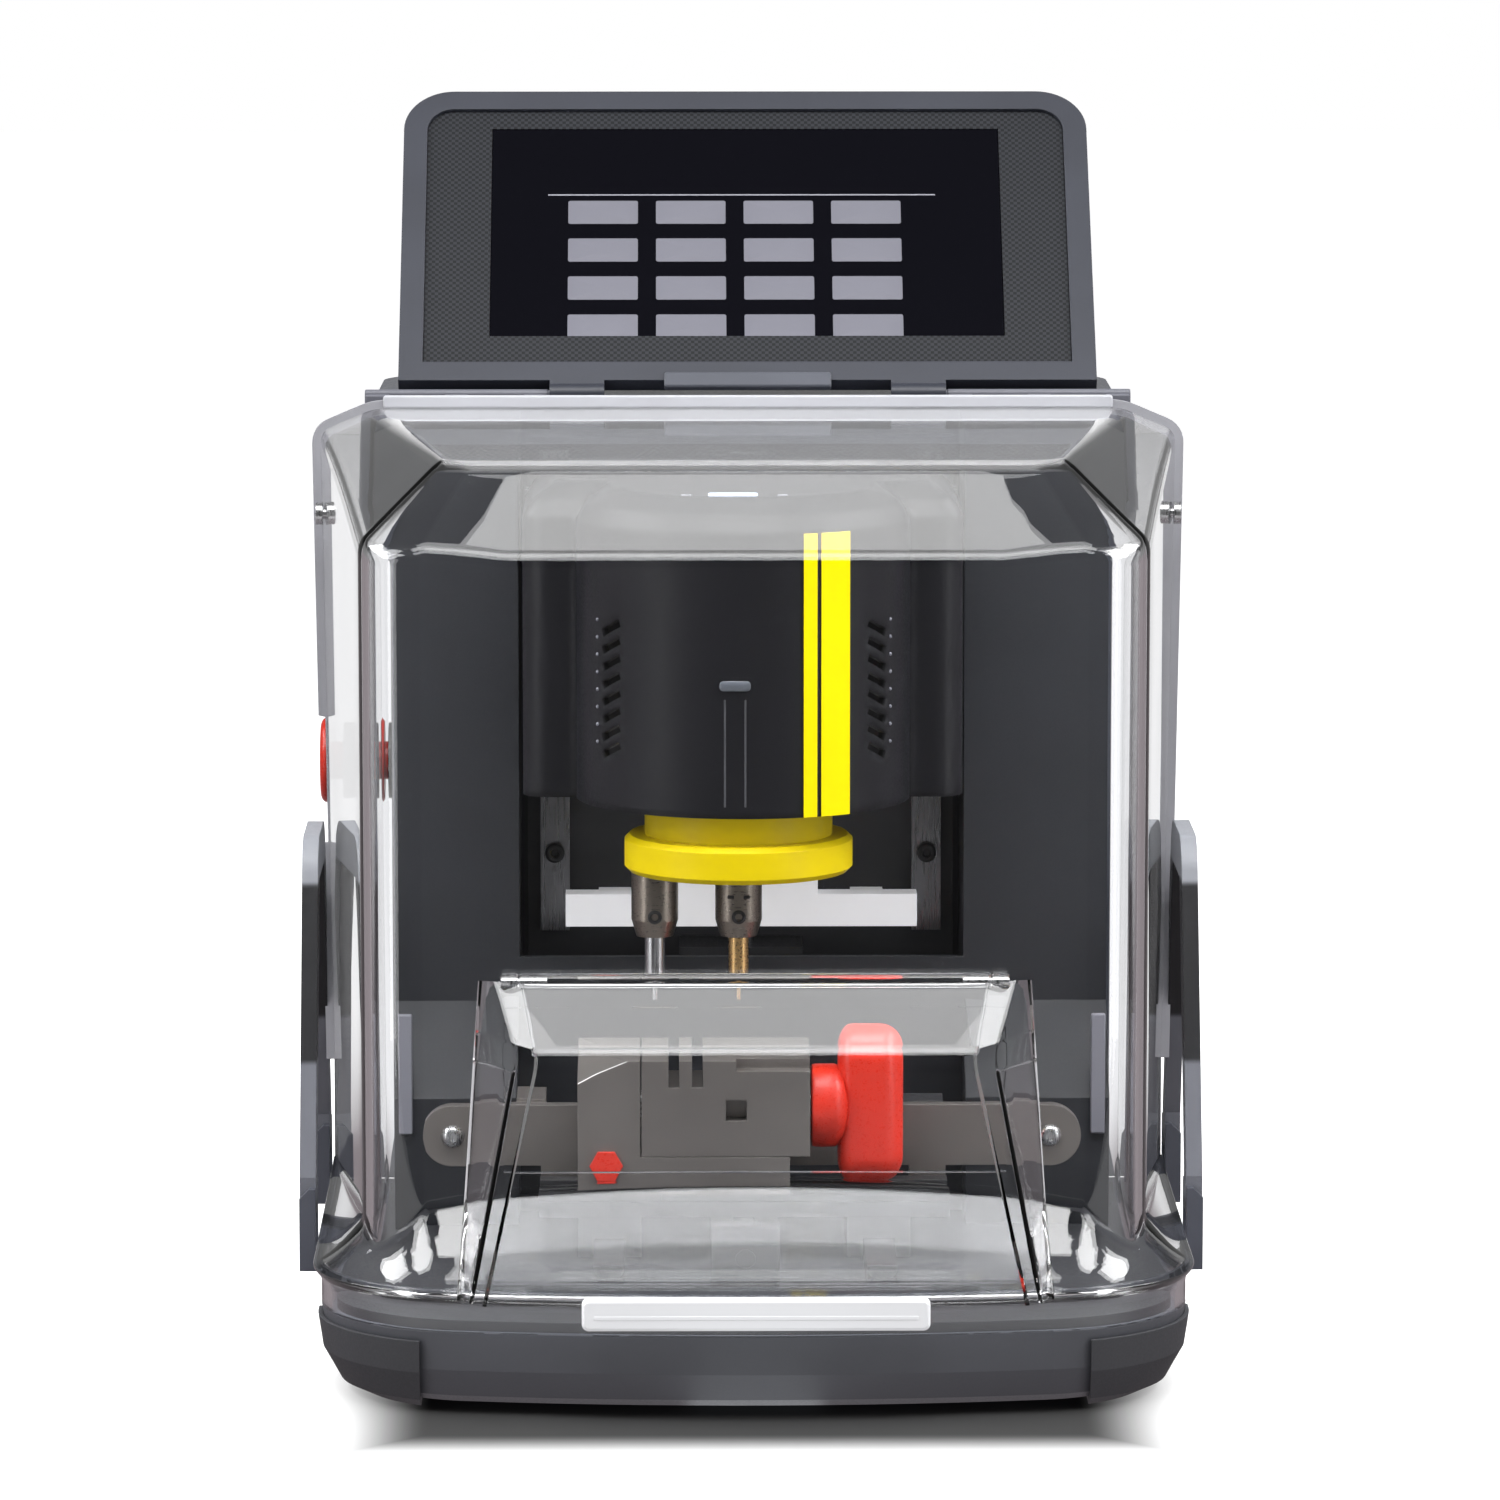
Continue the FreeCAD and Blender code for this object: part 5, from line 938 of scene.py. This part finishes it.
@dataclass
class CuttingHead(SubAssembly):
    """Moving head with its cover, spindle, probe and cutter."""

    finishes: dict[str, Finish] = field(default_factory=lambda: {
        "head_blocks": STEEL, "head_plate": DECK, "head_cover": HEAD_BLACK, "head_stripes": FILM,
        "spindle_housing": YELLOW, "guard_ring": YELLOW, "probe_holder": COLLET, "probe": STEEL,
        "cutter": GOLD, "cutter_collet": COLLET, "spindle_shaft": STEEL, "motor_pulley": STEEL,
        "spindle_motor": CAN, "drive_belt": RUBBER})
    bulge_x: float = -2.5
    bulge_y: float = -45.0
    bulge_r: float = 50.0
    louvres: int = 8
    louvre_low: float = 183.0
    louvre_pitch: float = 5.2
    glint_turn: float = 60.0
    glint_rise: float = 1.8
    lens: tuple[float, float] = (-5.3, 204.4)
    groove: tuple[float, float] = (3.0, 20.0)
    lamp: tuple[float, float] = (-5.8, -80.0)
    marks: tuple[float, float] = (-19.6, 8.8)
    set_screw_z: float = 131.5

    def on_bulge(self, x: float, z: float) -> Place:
        """Frame on the bulge's front at a place across it."""
        depth = math.sqrt(self.bulge_r ** 2 - (x - self.bulge_x) ** 2)
        return facing_front(x, self.bulge_y - depth, z)

    def round_bulge(self, degrees: float, z: float) -> Place:
        """Frame that faces out of the bulge at a turn from its front."""
        turn = math.radians(degrees)
        out = (math.sin(turn), -math.cos(turn))
        origin = (self.bulge_x + self.bulge_r * out[0], self.bulge_y + self.bulge_r * out[1], z)
        return Place(origin, right=(-out[1], out[0], 0.0))

    def build(self) -> None:
        """Lens, its groove, lamp line, pale dots at the louvres' outer ends that are painted glints, set
        screws and the collet's slit.
        """
        lens = pad(4.6, 1.5, 1.2, [(0.0, -0.3), (0.0, 0.3), (0.6, 0.7)])
        fit("head_lens", self.on_bulge(*self.lens).at(lens), LENS, Body.HEAD)
        line = pad(0.35, 16.0, 0.3, [(0.0, -0.3), (0.1, 0.12)])
        for side in (-1, 1):
            place = self.on_bulge(self.lens[0] + side * self.groove[0], self.lens[1] - self.groove[1])
            fit(f"head_groove_{hand(side)}", place.at(line), GROOVE, Body.HEAD)
        top = box_of("head_cover")[1, 2]
        lamp = pad(7.3, 1.0, 0.8, [(0.0, -0.2), (0.0, 0.5), (0.3, 0.8)])
        fit("head_lamp", facing_up(*self.lamp, top).at(lamp), LAMP_LINE, Body.HEAD)
        mark = pad(1.6, 0.6, 0.4, [(0.0, -0.2), (0.1, 0.4)])
        for number, x in enumerate(self.marks):
            fit(f"head_mark_{number}", facing_up(x, self.lamp[1], top).at(mark), PALE_MARKS_AND_PAINTED_GLINTS, Body.HEAD)
        # pale dots at the outer ends of the louvres: painted glints
        glint_dot = turned([(0.0, -0.2), (0.55, -0.2), (0.55, 0.2), (0.35, 0.45), (0.0, 0.5)], 16)
        for number in range(self.louvres):
            for side in (-1, 1):
                height = self.louvre_low + number * self.louvre_pitch + self.glint_rise
                place = self.round_bulge(side * self.glint_turn, height)
                fit(f"louvre_glint_{number}_{hand(side)}", place.at(glint_dot), PALE_MARKS_AND_PAINTED_GLINTS, Body.HEAD)
        screw = turned([(0.0, -0.6), (2.1, -0.6), (2.1, 0.2), (1.8, 0.4), (1.1, 0.4), (1.0, -0.4),
                        (0.0, -0.4)])
        for node, body in (("probe_holder", Body.HEAD), ("cutter_collet", Body.SPINDLE)):
            low, high = box_of(node)
            place = facing_front((low[0] + high[0]) / 2, low[1], self.set_screw_z)
            fit(f"{node}_screw", place.at(screw), BLACK, body)
        low, high = box_of("cutter_collet")
        slit = pad(3.4, 0.5, 0.4, [(0.0, -0.8), (0.0, 0.25)])
        place = facing_front((low[0] + high[0]) / 2, low[1] + 0.4, self.set_screw_z + 6.0)
        fit("collet_slit", place.at(slit), BLACK, Body.SPINDLE)


@dataclass
class KeyTable(SubAssembly):
    """Two-axis table with the key clamp."""

    finishes: dict[str, Finish] = field(default_factory=lambda: {
        "saddle_plate": DECK, "saddle_blocks": DARK_STEEL, "cross_beam": CLAMP, "x_rails": DARK_STEEL,
        "x_motor": CAN, "x_screw": DARK_STEEL, "table_plate": CLAMP, "table_blocks": DARK_STEEL,
        "clamp_body": CLAMP, "clamp_jaw": CLAMP, "clamp_badge": RED, "clamp_screw": STEEL})
    knob_wing: tuple[float, float] = (9.0, 23.4)
    knob_round: float = 7.0
    hub: tuple[float, float] = (13.0, 10.0)
    ear_screws: tuple[float, float] = (-90.0, 90.0)
    ear_z: float = 61.75
    bevel: tuple[float, float, float] = (-44.5, -68.5, 88.0)
    bevel_half: tuple[float, float] = (8.3, 16.3)
    bevel_slope: tuple[float, float] = (15.0, 8.0)

    def knob(self) -> None:
        """Winged knob: a pad whose ends are drawn in along quarter circles, on a round hub.

        At the distance x from an end, the inset is r - sqrt(r^2 - (r - x)^2).
        """
        low, high = box_of("clamp_knob")
        middle = (low + high) / 2
        long = high[0] - low[0]
        radius = self.knob_round
        turn = np.linspace(0.0, math.pi / 2, 9)
        back = [(radius * (1 - math.sin(a)), self.hub[1] - 2.0 + radius * 0.6 * (1 - math.cos(a)))
                for a in turn]
        front = [(radius * (1 - math.cos(a)), long - radius * (1 - math.sin(a))) for a in turn]
        place = Place((low[0], middle[1], middle[2]), right=(0.0, 1.0, 0.0), up=(0.0, 0.0, 1.0))
        wing = pad(self.knob_wing[0], self.knob_wing[1], self.knob_wing[0] - 0.2, back + front, 12)
        knob = fit("knob_wing", place.at(wing), RED, Body.KNOB)
        size, deep = self.hub
        hub = turned([(0.0, 0.0), (size - 1.2, 0.0), (size - 0.3, 0.4), (size, 1.4), (size, deep - 3.0),
                      (size - 1.5, deep - 0.5), (size - 4.5, deep + 1.0), (0.0, deep + 1.0)], 64)
        fit("knob_hub", place.at(hub), RED, Body.KNOB)
        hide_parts("clamp_knob")

    def build(self) -> None:
        """Knob, the bevel of the fixed jaw, near white and glowing as a painted highlight, and pan-head
        screws in the ears of the cross beam.
        """
        self.knob()
        run, rise = np.array(self.bevel_slope) / math.hypot(*self.bevel_slope)
        sheet = Place(self.bevel, right=(run, 0.0, rise), up=(0.0, 1.0, 0.0))
        face = pad(*self.bevel_half, 0.3, [(0.0, -0.1), (0.0, 0.1), (0.1, 0.15)])
        fit("jaw_bevel_painted_highlight", sheet.at(face), BEVEL_PAINTED_HIGHLIGHT, Body.TABLE)
        beam_y = box_of("cross_beam")[0, 1]
        head = turned([(0.0, 0.1), (3.4, 0.1), (3.3, 1.0), (2.4, 2.0), (1.3, 2.2), (1.2, 1.0), (0.0, 1.0)])
        for number, x in enumerate(self.ear_screws):
            fit(f"ear_screw_{number}", facing_front(x, beam_y, self.ear_z).at(head), STEEL, Body.SADDLE)


@dataclass
class TouchPanel(SubAssembly):
    """Tilting panel with its display."""

    finishes: dict[str, Finish] = field(default_factory=lambda: {
        "panel_bezel": PANEL, "panel_faceplate": WEAVE, "panel_display": GLASS_BLACK, "panel_back": PANEL})
    barrel: tuple[float, float] = (62.0, 119.0)
    barrel_r: float = 1.5
    pin: tuple[float, float] = (48.5, 1.3)
    leaf: tuple[float, float, float] = (4.0, 2.4, 3.0)
    hinge: tuple[float, float] = (61.5, 275.9)
    lean: float = 45.0
    tile_first: tuple[float, float] = (-45.2, 74.1)
    tile_half: tuple[float, float] = (11.0, 4.8)
    tile_step: tuple[float, float] = (27.7, -15.7)
    tiles: tuple[int, int] = (4, 4)
    line: tuple[float, float, float] = (-1.4, 81.4, 61.3)
    plate: tuple[float, float, float, float] = (0.0, 3.7, 26.0, 3.0)

    def hinges(self) -> None:
        """Thin hinge barrels with a pin end and three leaves each, on the rear cover's top."""
        y, z = self.hinge
        inner, outer = self.barrel
        reach, thin = self.pin
        r = self.barrel_r
        bar = turned([(0.0, reach), (thin, reach), (thin, inner), (r - 0.3, inner), (r, inner + 0.3),
                      (r, outer - 0.3), (r - 0.3, outer), (0.0, outer)], 32)
        half, deep, high = self.leaf
        leaf = pad(half, deep, 0.8, [(0.0, 0.0), (0.0, high), (0.6, high + 0.5)])
        for side in (-1, 1):
            name = hand(side)
            axis = Place((0.0, y, z), right=(0.0, float(side), 0.0), up=(0.0, 0.0, 1.0))
            piece = fit(f"hinge_barrel_{name}", axis.at(bar), HINGE, Body.FRAME)
            for number, x in enumerate(np.linspace(inner + half, outer - half, 3)):
                place = facing_up(side * x, y, z - high - 0.4)
                fit(f"hinge_leaf_{name}_{number}", place.at(leaf), HINGE, Body.FRAME)
        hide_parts("panel_hinges")

    def build(self) -> None:
        """Hinges, blank tiles and a line on the display, and a bare plate under it."""
        self.hinges()
        turn = math.radians(self.lean)
        sheet = Place((0.0, *self.hinge), up=(0.0, math.sin(turn), math.cos(turn)))
        out = np.cross(sheet.right, sheet.up)
        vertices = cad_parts["panel_display"].data.vertices
        points = np.empty(len(vertices) * 3)
        vertices.foreach_get("co", points)
        face = float(((points.reshape(-1, 3) / MM - np.array(sheet.origin)) @ out).max())
        tile = pad(*self.tile_half, 0.7, [(0.0, 0.0), (0.0, 0.08), (0.1, 0.12)])
        for column in range(self.tiles[0]):
            for row in range(self.tiles[1]):
                place = sheet.moved(self.tile_first[0] + column * self.tile_step[0],
                                    self.tile_first[1] + row * self.tile_step[1], face)
                fit(f"display_tile_{column}_{row}", place.at(tile), TILE, Body.PANEL)
        middle, high, half = self.line
        rule = pad(half, 0.25, 0.2, [(0.0, 0.0), (0.05, 0.1)])
        fit("display_line", sheet.moved(middle, high, face).at(rule), RULE, Body.PANEL)
        x, up, half, high = self.plate
        plate = pad(half, high, 1.0, [(0.0, -1.0), (0.0, 0.6), (0.5, 1.1)])
        fit("bare_plate", sheet.moved(x, up, 2.0).at(plate), SLATE, Body.PANEL)


@dataclass(frozen=True)
class SoftBox:
    """Rectangular lamp, in metres, with its radiance."""

    name: str
    place: tuple[float, float, float]
    aim: tuple[float, float, float]
    size: tuple[float, float]
    radiance: float

    def build(self) -> None:
        """Add the lamp; a one-sided panel of area A and radiance L sends out pi A L watts."""
        data = bpy.data.lights.new(self.name, "AREA")
        data.shape = "RECTANGLE"
        data.size, data.size_y = self.size
        data.energy = math.pi * self.size[0] * self.size[1] * self.radiance
        lamp = bpy.data.objects.new(self.name, data)
        lamp.location = self.place
        lamp.rotation_euler = (Vector(self.aim) - Vector(self.place)).to_track_quat("-Z", "Y").to_euler()
        bpy.context.scene.collection.objects.link(lamp)

    def pair(self) -> tuple["SoftBox", "SoftBox"]:
        """This lamp's mirror image on the left, and the lamp itself on the right."""
        return tuple(SoftBox(f"{hand(side)}_{self.name}", (side * self.place[0], *self.place[1:]),
                             (side * self.aim[0], *self.aim[1:]), self.size, self.radiance)
                     for side in (-1, 1))


@dataclass
class Studio:
    """Camera, lamps, world and floor round the machine, in metres."""

    distance: float = 2.5
    target: Vector = field(default_factory=lambda: Vector((0.0, -0.020, 0.163)))
    elevation: float = 8.0
    azimuth: float = -0.6
    focal_pixels: float = 8250.0
    frame_pixels: float = 1500.0
    target_pixel: tuple[float, float] = (750.5, 790.0)
    sensor: float = 36.0
    floor_half: float = 6.0
    floor_front: float = -0.45
    # half size and fade of the painted contact shadow on the floor
    footprint: tuple[float, float] = (0.094, 0.184)
    painted_shadow_fade: float = 0.05
    # paper colour round the footprint, a painted shadow, and away from it
    paper_with_painted_shadow: tuple[Colour, Colour] = ((0.05, 0.05, 0.05), (0.8, 0.8, 0.8))
    mirrored: tuple[Colour, Colour] = ((0.95, 0.95, 0.96), (0.29, 0.255, 0.27))
    fan_shift: float = 0.1
    fan_least: float = 0.05
    fan: tuple[float, float, float, float] = (0.31, 0.47, 0.0, 1.0)
    near: tuple[float, float, float, float] = (-0.25, -0.12, 0.2, 1.0)
    sky_behind: tuple[float, float, float, float] = (-0.25, 0.35, 0.05, 1.0)
    sky_above: tuple[float, float, float, float] = (0.18, 0.32, 1.0, 0.25)
    sky_beside: tuple[float, float, float, float] = (0.06, 0.17, 1.0, 0.22)
    boxes: tuple[SoftBox, ...] = (
        SoftBox("front_overhead", (0.0, -0.77, 1.45), (0.0, -0.77, 0.0), (1.3, 0.50), 8.0),
        SoftBox("rear_overhead", (0.0, -0.32, 1.45), (0.0, -0.32, 0.0), (0.9, 0.40), 4.6),
        *SoftBox("top", (0.97, 0.30, 1.05), (0.0, -0.1, 0.15), (0.45, 0.45), 8.0).pair(),
        *SoftBox("high", (0.97, -0.30, 0.95), (0.07, -0.155, 0.115), (0.42, 0.66), 9.0).pair(),
        *SoftBox("strip", (0.62, -0.45, 0.25), (0.0, -0.1, 0.2), (0.12, 0.6), 4.0).pair())

    def camera(self) -> None:
        """Set the camera at the photograph's viewing angle."""
        turn = math.radians(self.azimuth)
        rise = math.radians(self.elevation)
        look = Vector((-math.sin(turn) * math.cos(rise), math.cos(turn) * math.cos(rise), -math.sin(rise)))
        data = bpy.data.cameras.new("camera")
        data.sensor_width = self.sensor
        data.lens = self.focal_pixels / self.frame_pixels * self.sensor
        middle = self.frame_pixels / 2
        data.shift_x = (middle - self.target_pixel[0]) / self.frame_pixels
        data.shift_y = (self.target_pixel[1] - middle) / self.frame_pixels
        data.clip_end = 50.0
        eye = bpy.data.objects.new("camera", data)
        eye.location = self.target - look * self.distance
        eye.rotation_euler = look.to_track_quat("-Z", "Y").to_euler()
        bpy.context.scene.collection.objects.link(eye)
        bpy.context.scene.camera = eye

    def world(self) -> None:
        """White to the camera; as a light it is bright straight behind the machine and dim all round."""
        world = bpy.data.worlds.new("studio")
        bpy.context.scene.world = world
        world.use_nodes = True
        nodes = NodeTree(world.node_tree)
        way = nodes.add("SeparateXYZ", Vector=nodes.add("TexCoord").outputs["Generated"]).outputs
        behind = nodes.rise(way["Y"], *self.sky_behind)
        above = nodes.rise(way["Z"], *self.sky_above)
        beside = nodes.rise(nodes.maths("ABSOLUTE", way["X"]), *self.sky_beside)
        level = nodes.maths("MULTIPLY", nodes.maths("MULTIPLY", behind, beside), above)
        level = nodes.maths("MAXIMUM", level, nodes.add("LightPath").outputs["Is Camera Ray"])
        sky = nodes.add("Background", Color=WHITE_LIGHT, Strength=level)
        nodes.add("OutputWorld", Surface=sky.outputs["Background"])

    def floor(self) -> None:
        """Pale floor that turns white away from the machine, with a painted contact shadow: its paper is
        painted dark round the footprint.

        The white grows as max(|x| - a, |y| - b) / fade, where a and b are half the footprint. In mirrors and
        glass the floor is white in a fan behind the machine and grey beside it: it turns grey as
        |x| / max(y + shift, least) climbs through the fan's range, and stays paler in front.
        """
        half = self.floor_half
        mesh = bpy.data.meshes.new("floor")
        mesh.from_pydata([(-half, self.floor_front, 0), (half, self.floor_front, 0), (half, half, 0),
                          (-half, half, 0)], [], [(0, 1, 2, 3)])
        floor = bpy.data.objects.new("floor", mesh)
        bpy.context.scene.collection.objects.link(floor)
        material = bpy.data.materials.new("floor_paper")
        material.use_nodes = True
        nodes = NodeTree(material.node_tree)
        place = nodes.add("SeparateXYZ", Vector=nodes.add("TexCoord").outputs["Object"]).outputs
        across = nodes.maths("ABSOLUTE", place["X"])
        side = nodes.maths("SUBTRACT", across, self.footprint[0])
        deep = nodes.maths("SUBTRACT", nodes.maths("ABSOLUTE", place["Y"]), self.footprint[1])
        # zero round the footprint, where the painted shadow lies, rising to one beyond the fade
        seen = nodes.rise(nodes.maths("MAXIMUM", side, deep), 0.0, self.painted_shadow_fade, 0.0, 1.0)
        glow = nodes.add("Emission", Color=WHITE_LIGHT, Strength=seen)
        # painted shadow: the paper's colour runs from dark round the footprint to pale beyond the fade
        paper_with_painted_shadow = nodes.add("BsdfDiffuse", Color=nodes.ramp(seen, list(enumerate(self.paper_with_painted_shadow))))
        both = nodes.add("AddShader")
        nodes.fill(both.inputs[0], paper_with_painted_shadow.outputs["BSDF"])
        nodes.fill(both.inputs[1], glow.outputs["Emission"])
        behind = nodes.maths("MAXIMUM", nodes.maths("ADD", place["Y"], self.fan_shift), self.fan_least)
        beside = nodes.rise(nodes.maths("DIVIDE", across, behind), *self.fan)
        turned_away = nodes.maths("MINIMUM", beside, nodes.rise(place["Y"], *self.near))
        mirrored = nodes.add("Emission", Color=nodes.ramp(turned_away, list(enumerate(self.mirrored))))
        camera = nodes.add("LightPath").outputs["Is Camera Ray"]
        shown = nodes.mix(camera, mirrored.outputs["Emission"], both.outputs["Shader"])
        nodes.add("OutputMaterial", Surface=shown)
        mesh.materials.append(material)

    def build(self) -> None:
        """Set everything up."""
        bpy.context.scene.view_settings.view_transform = "Standard"
        self.camera()
        for lamp in self.boxes:
            lamp.build()
        self.world()
        self.floor()


def main() -> None:
    """Dress and build every sub-assembly, then the studio."""
    logging.basicConfig(level=logging.INFO, format="%(message)s")
    for group in (Base(), Hood(), RearHousing(), Chamber(), CuttingHead(), KeyTable(), TouchPanel()):
        group.dress()
        group.build()
        LOG.info("%s dressed with %d finishes", type(group).__name__, len(group.finishes))
    Studio().build()


if __name__ == "__main__":
    main()
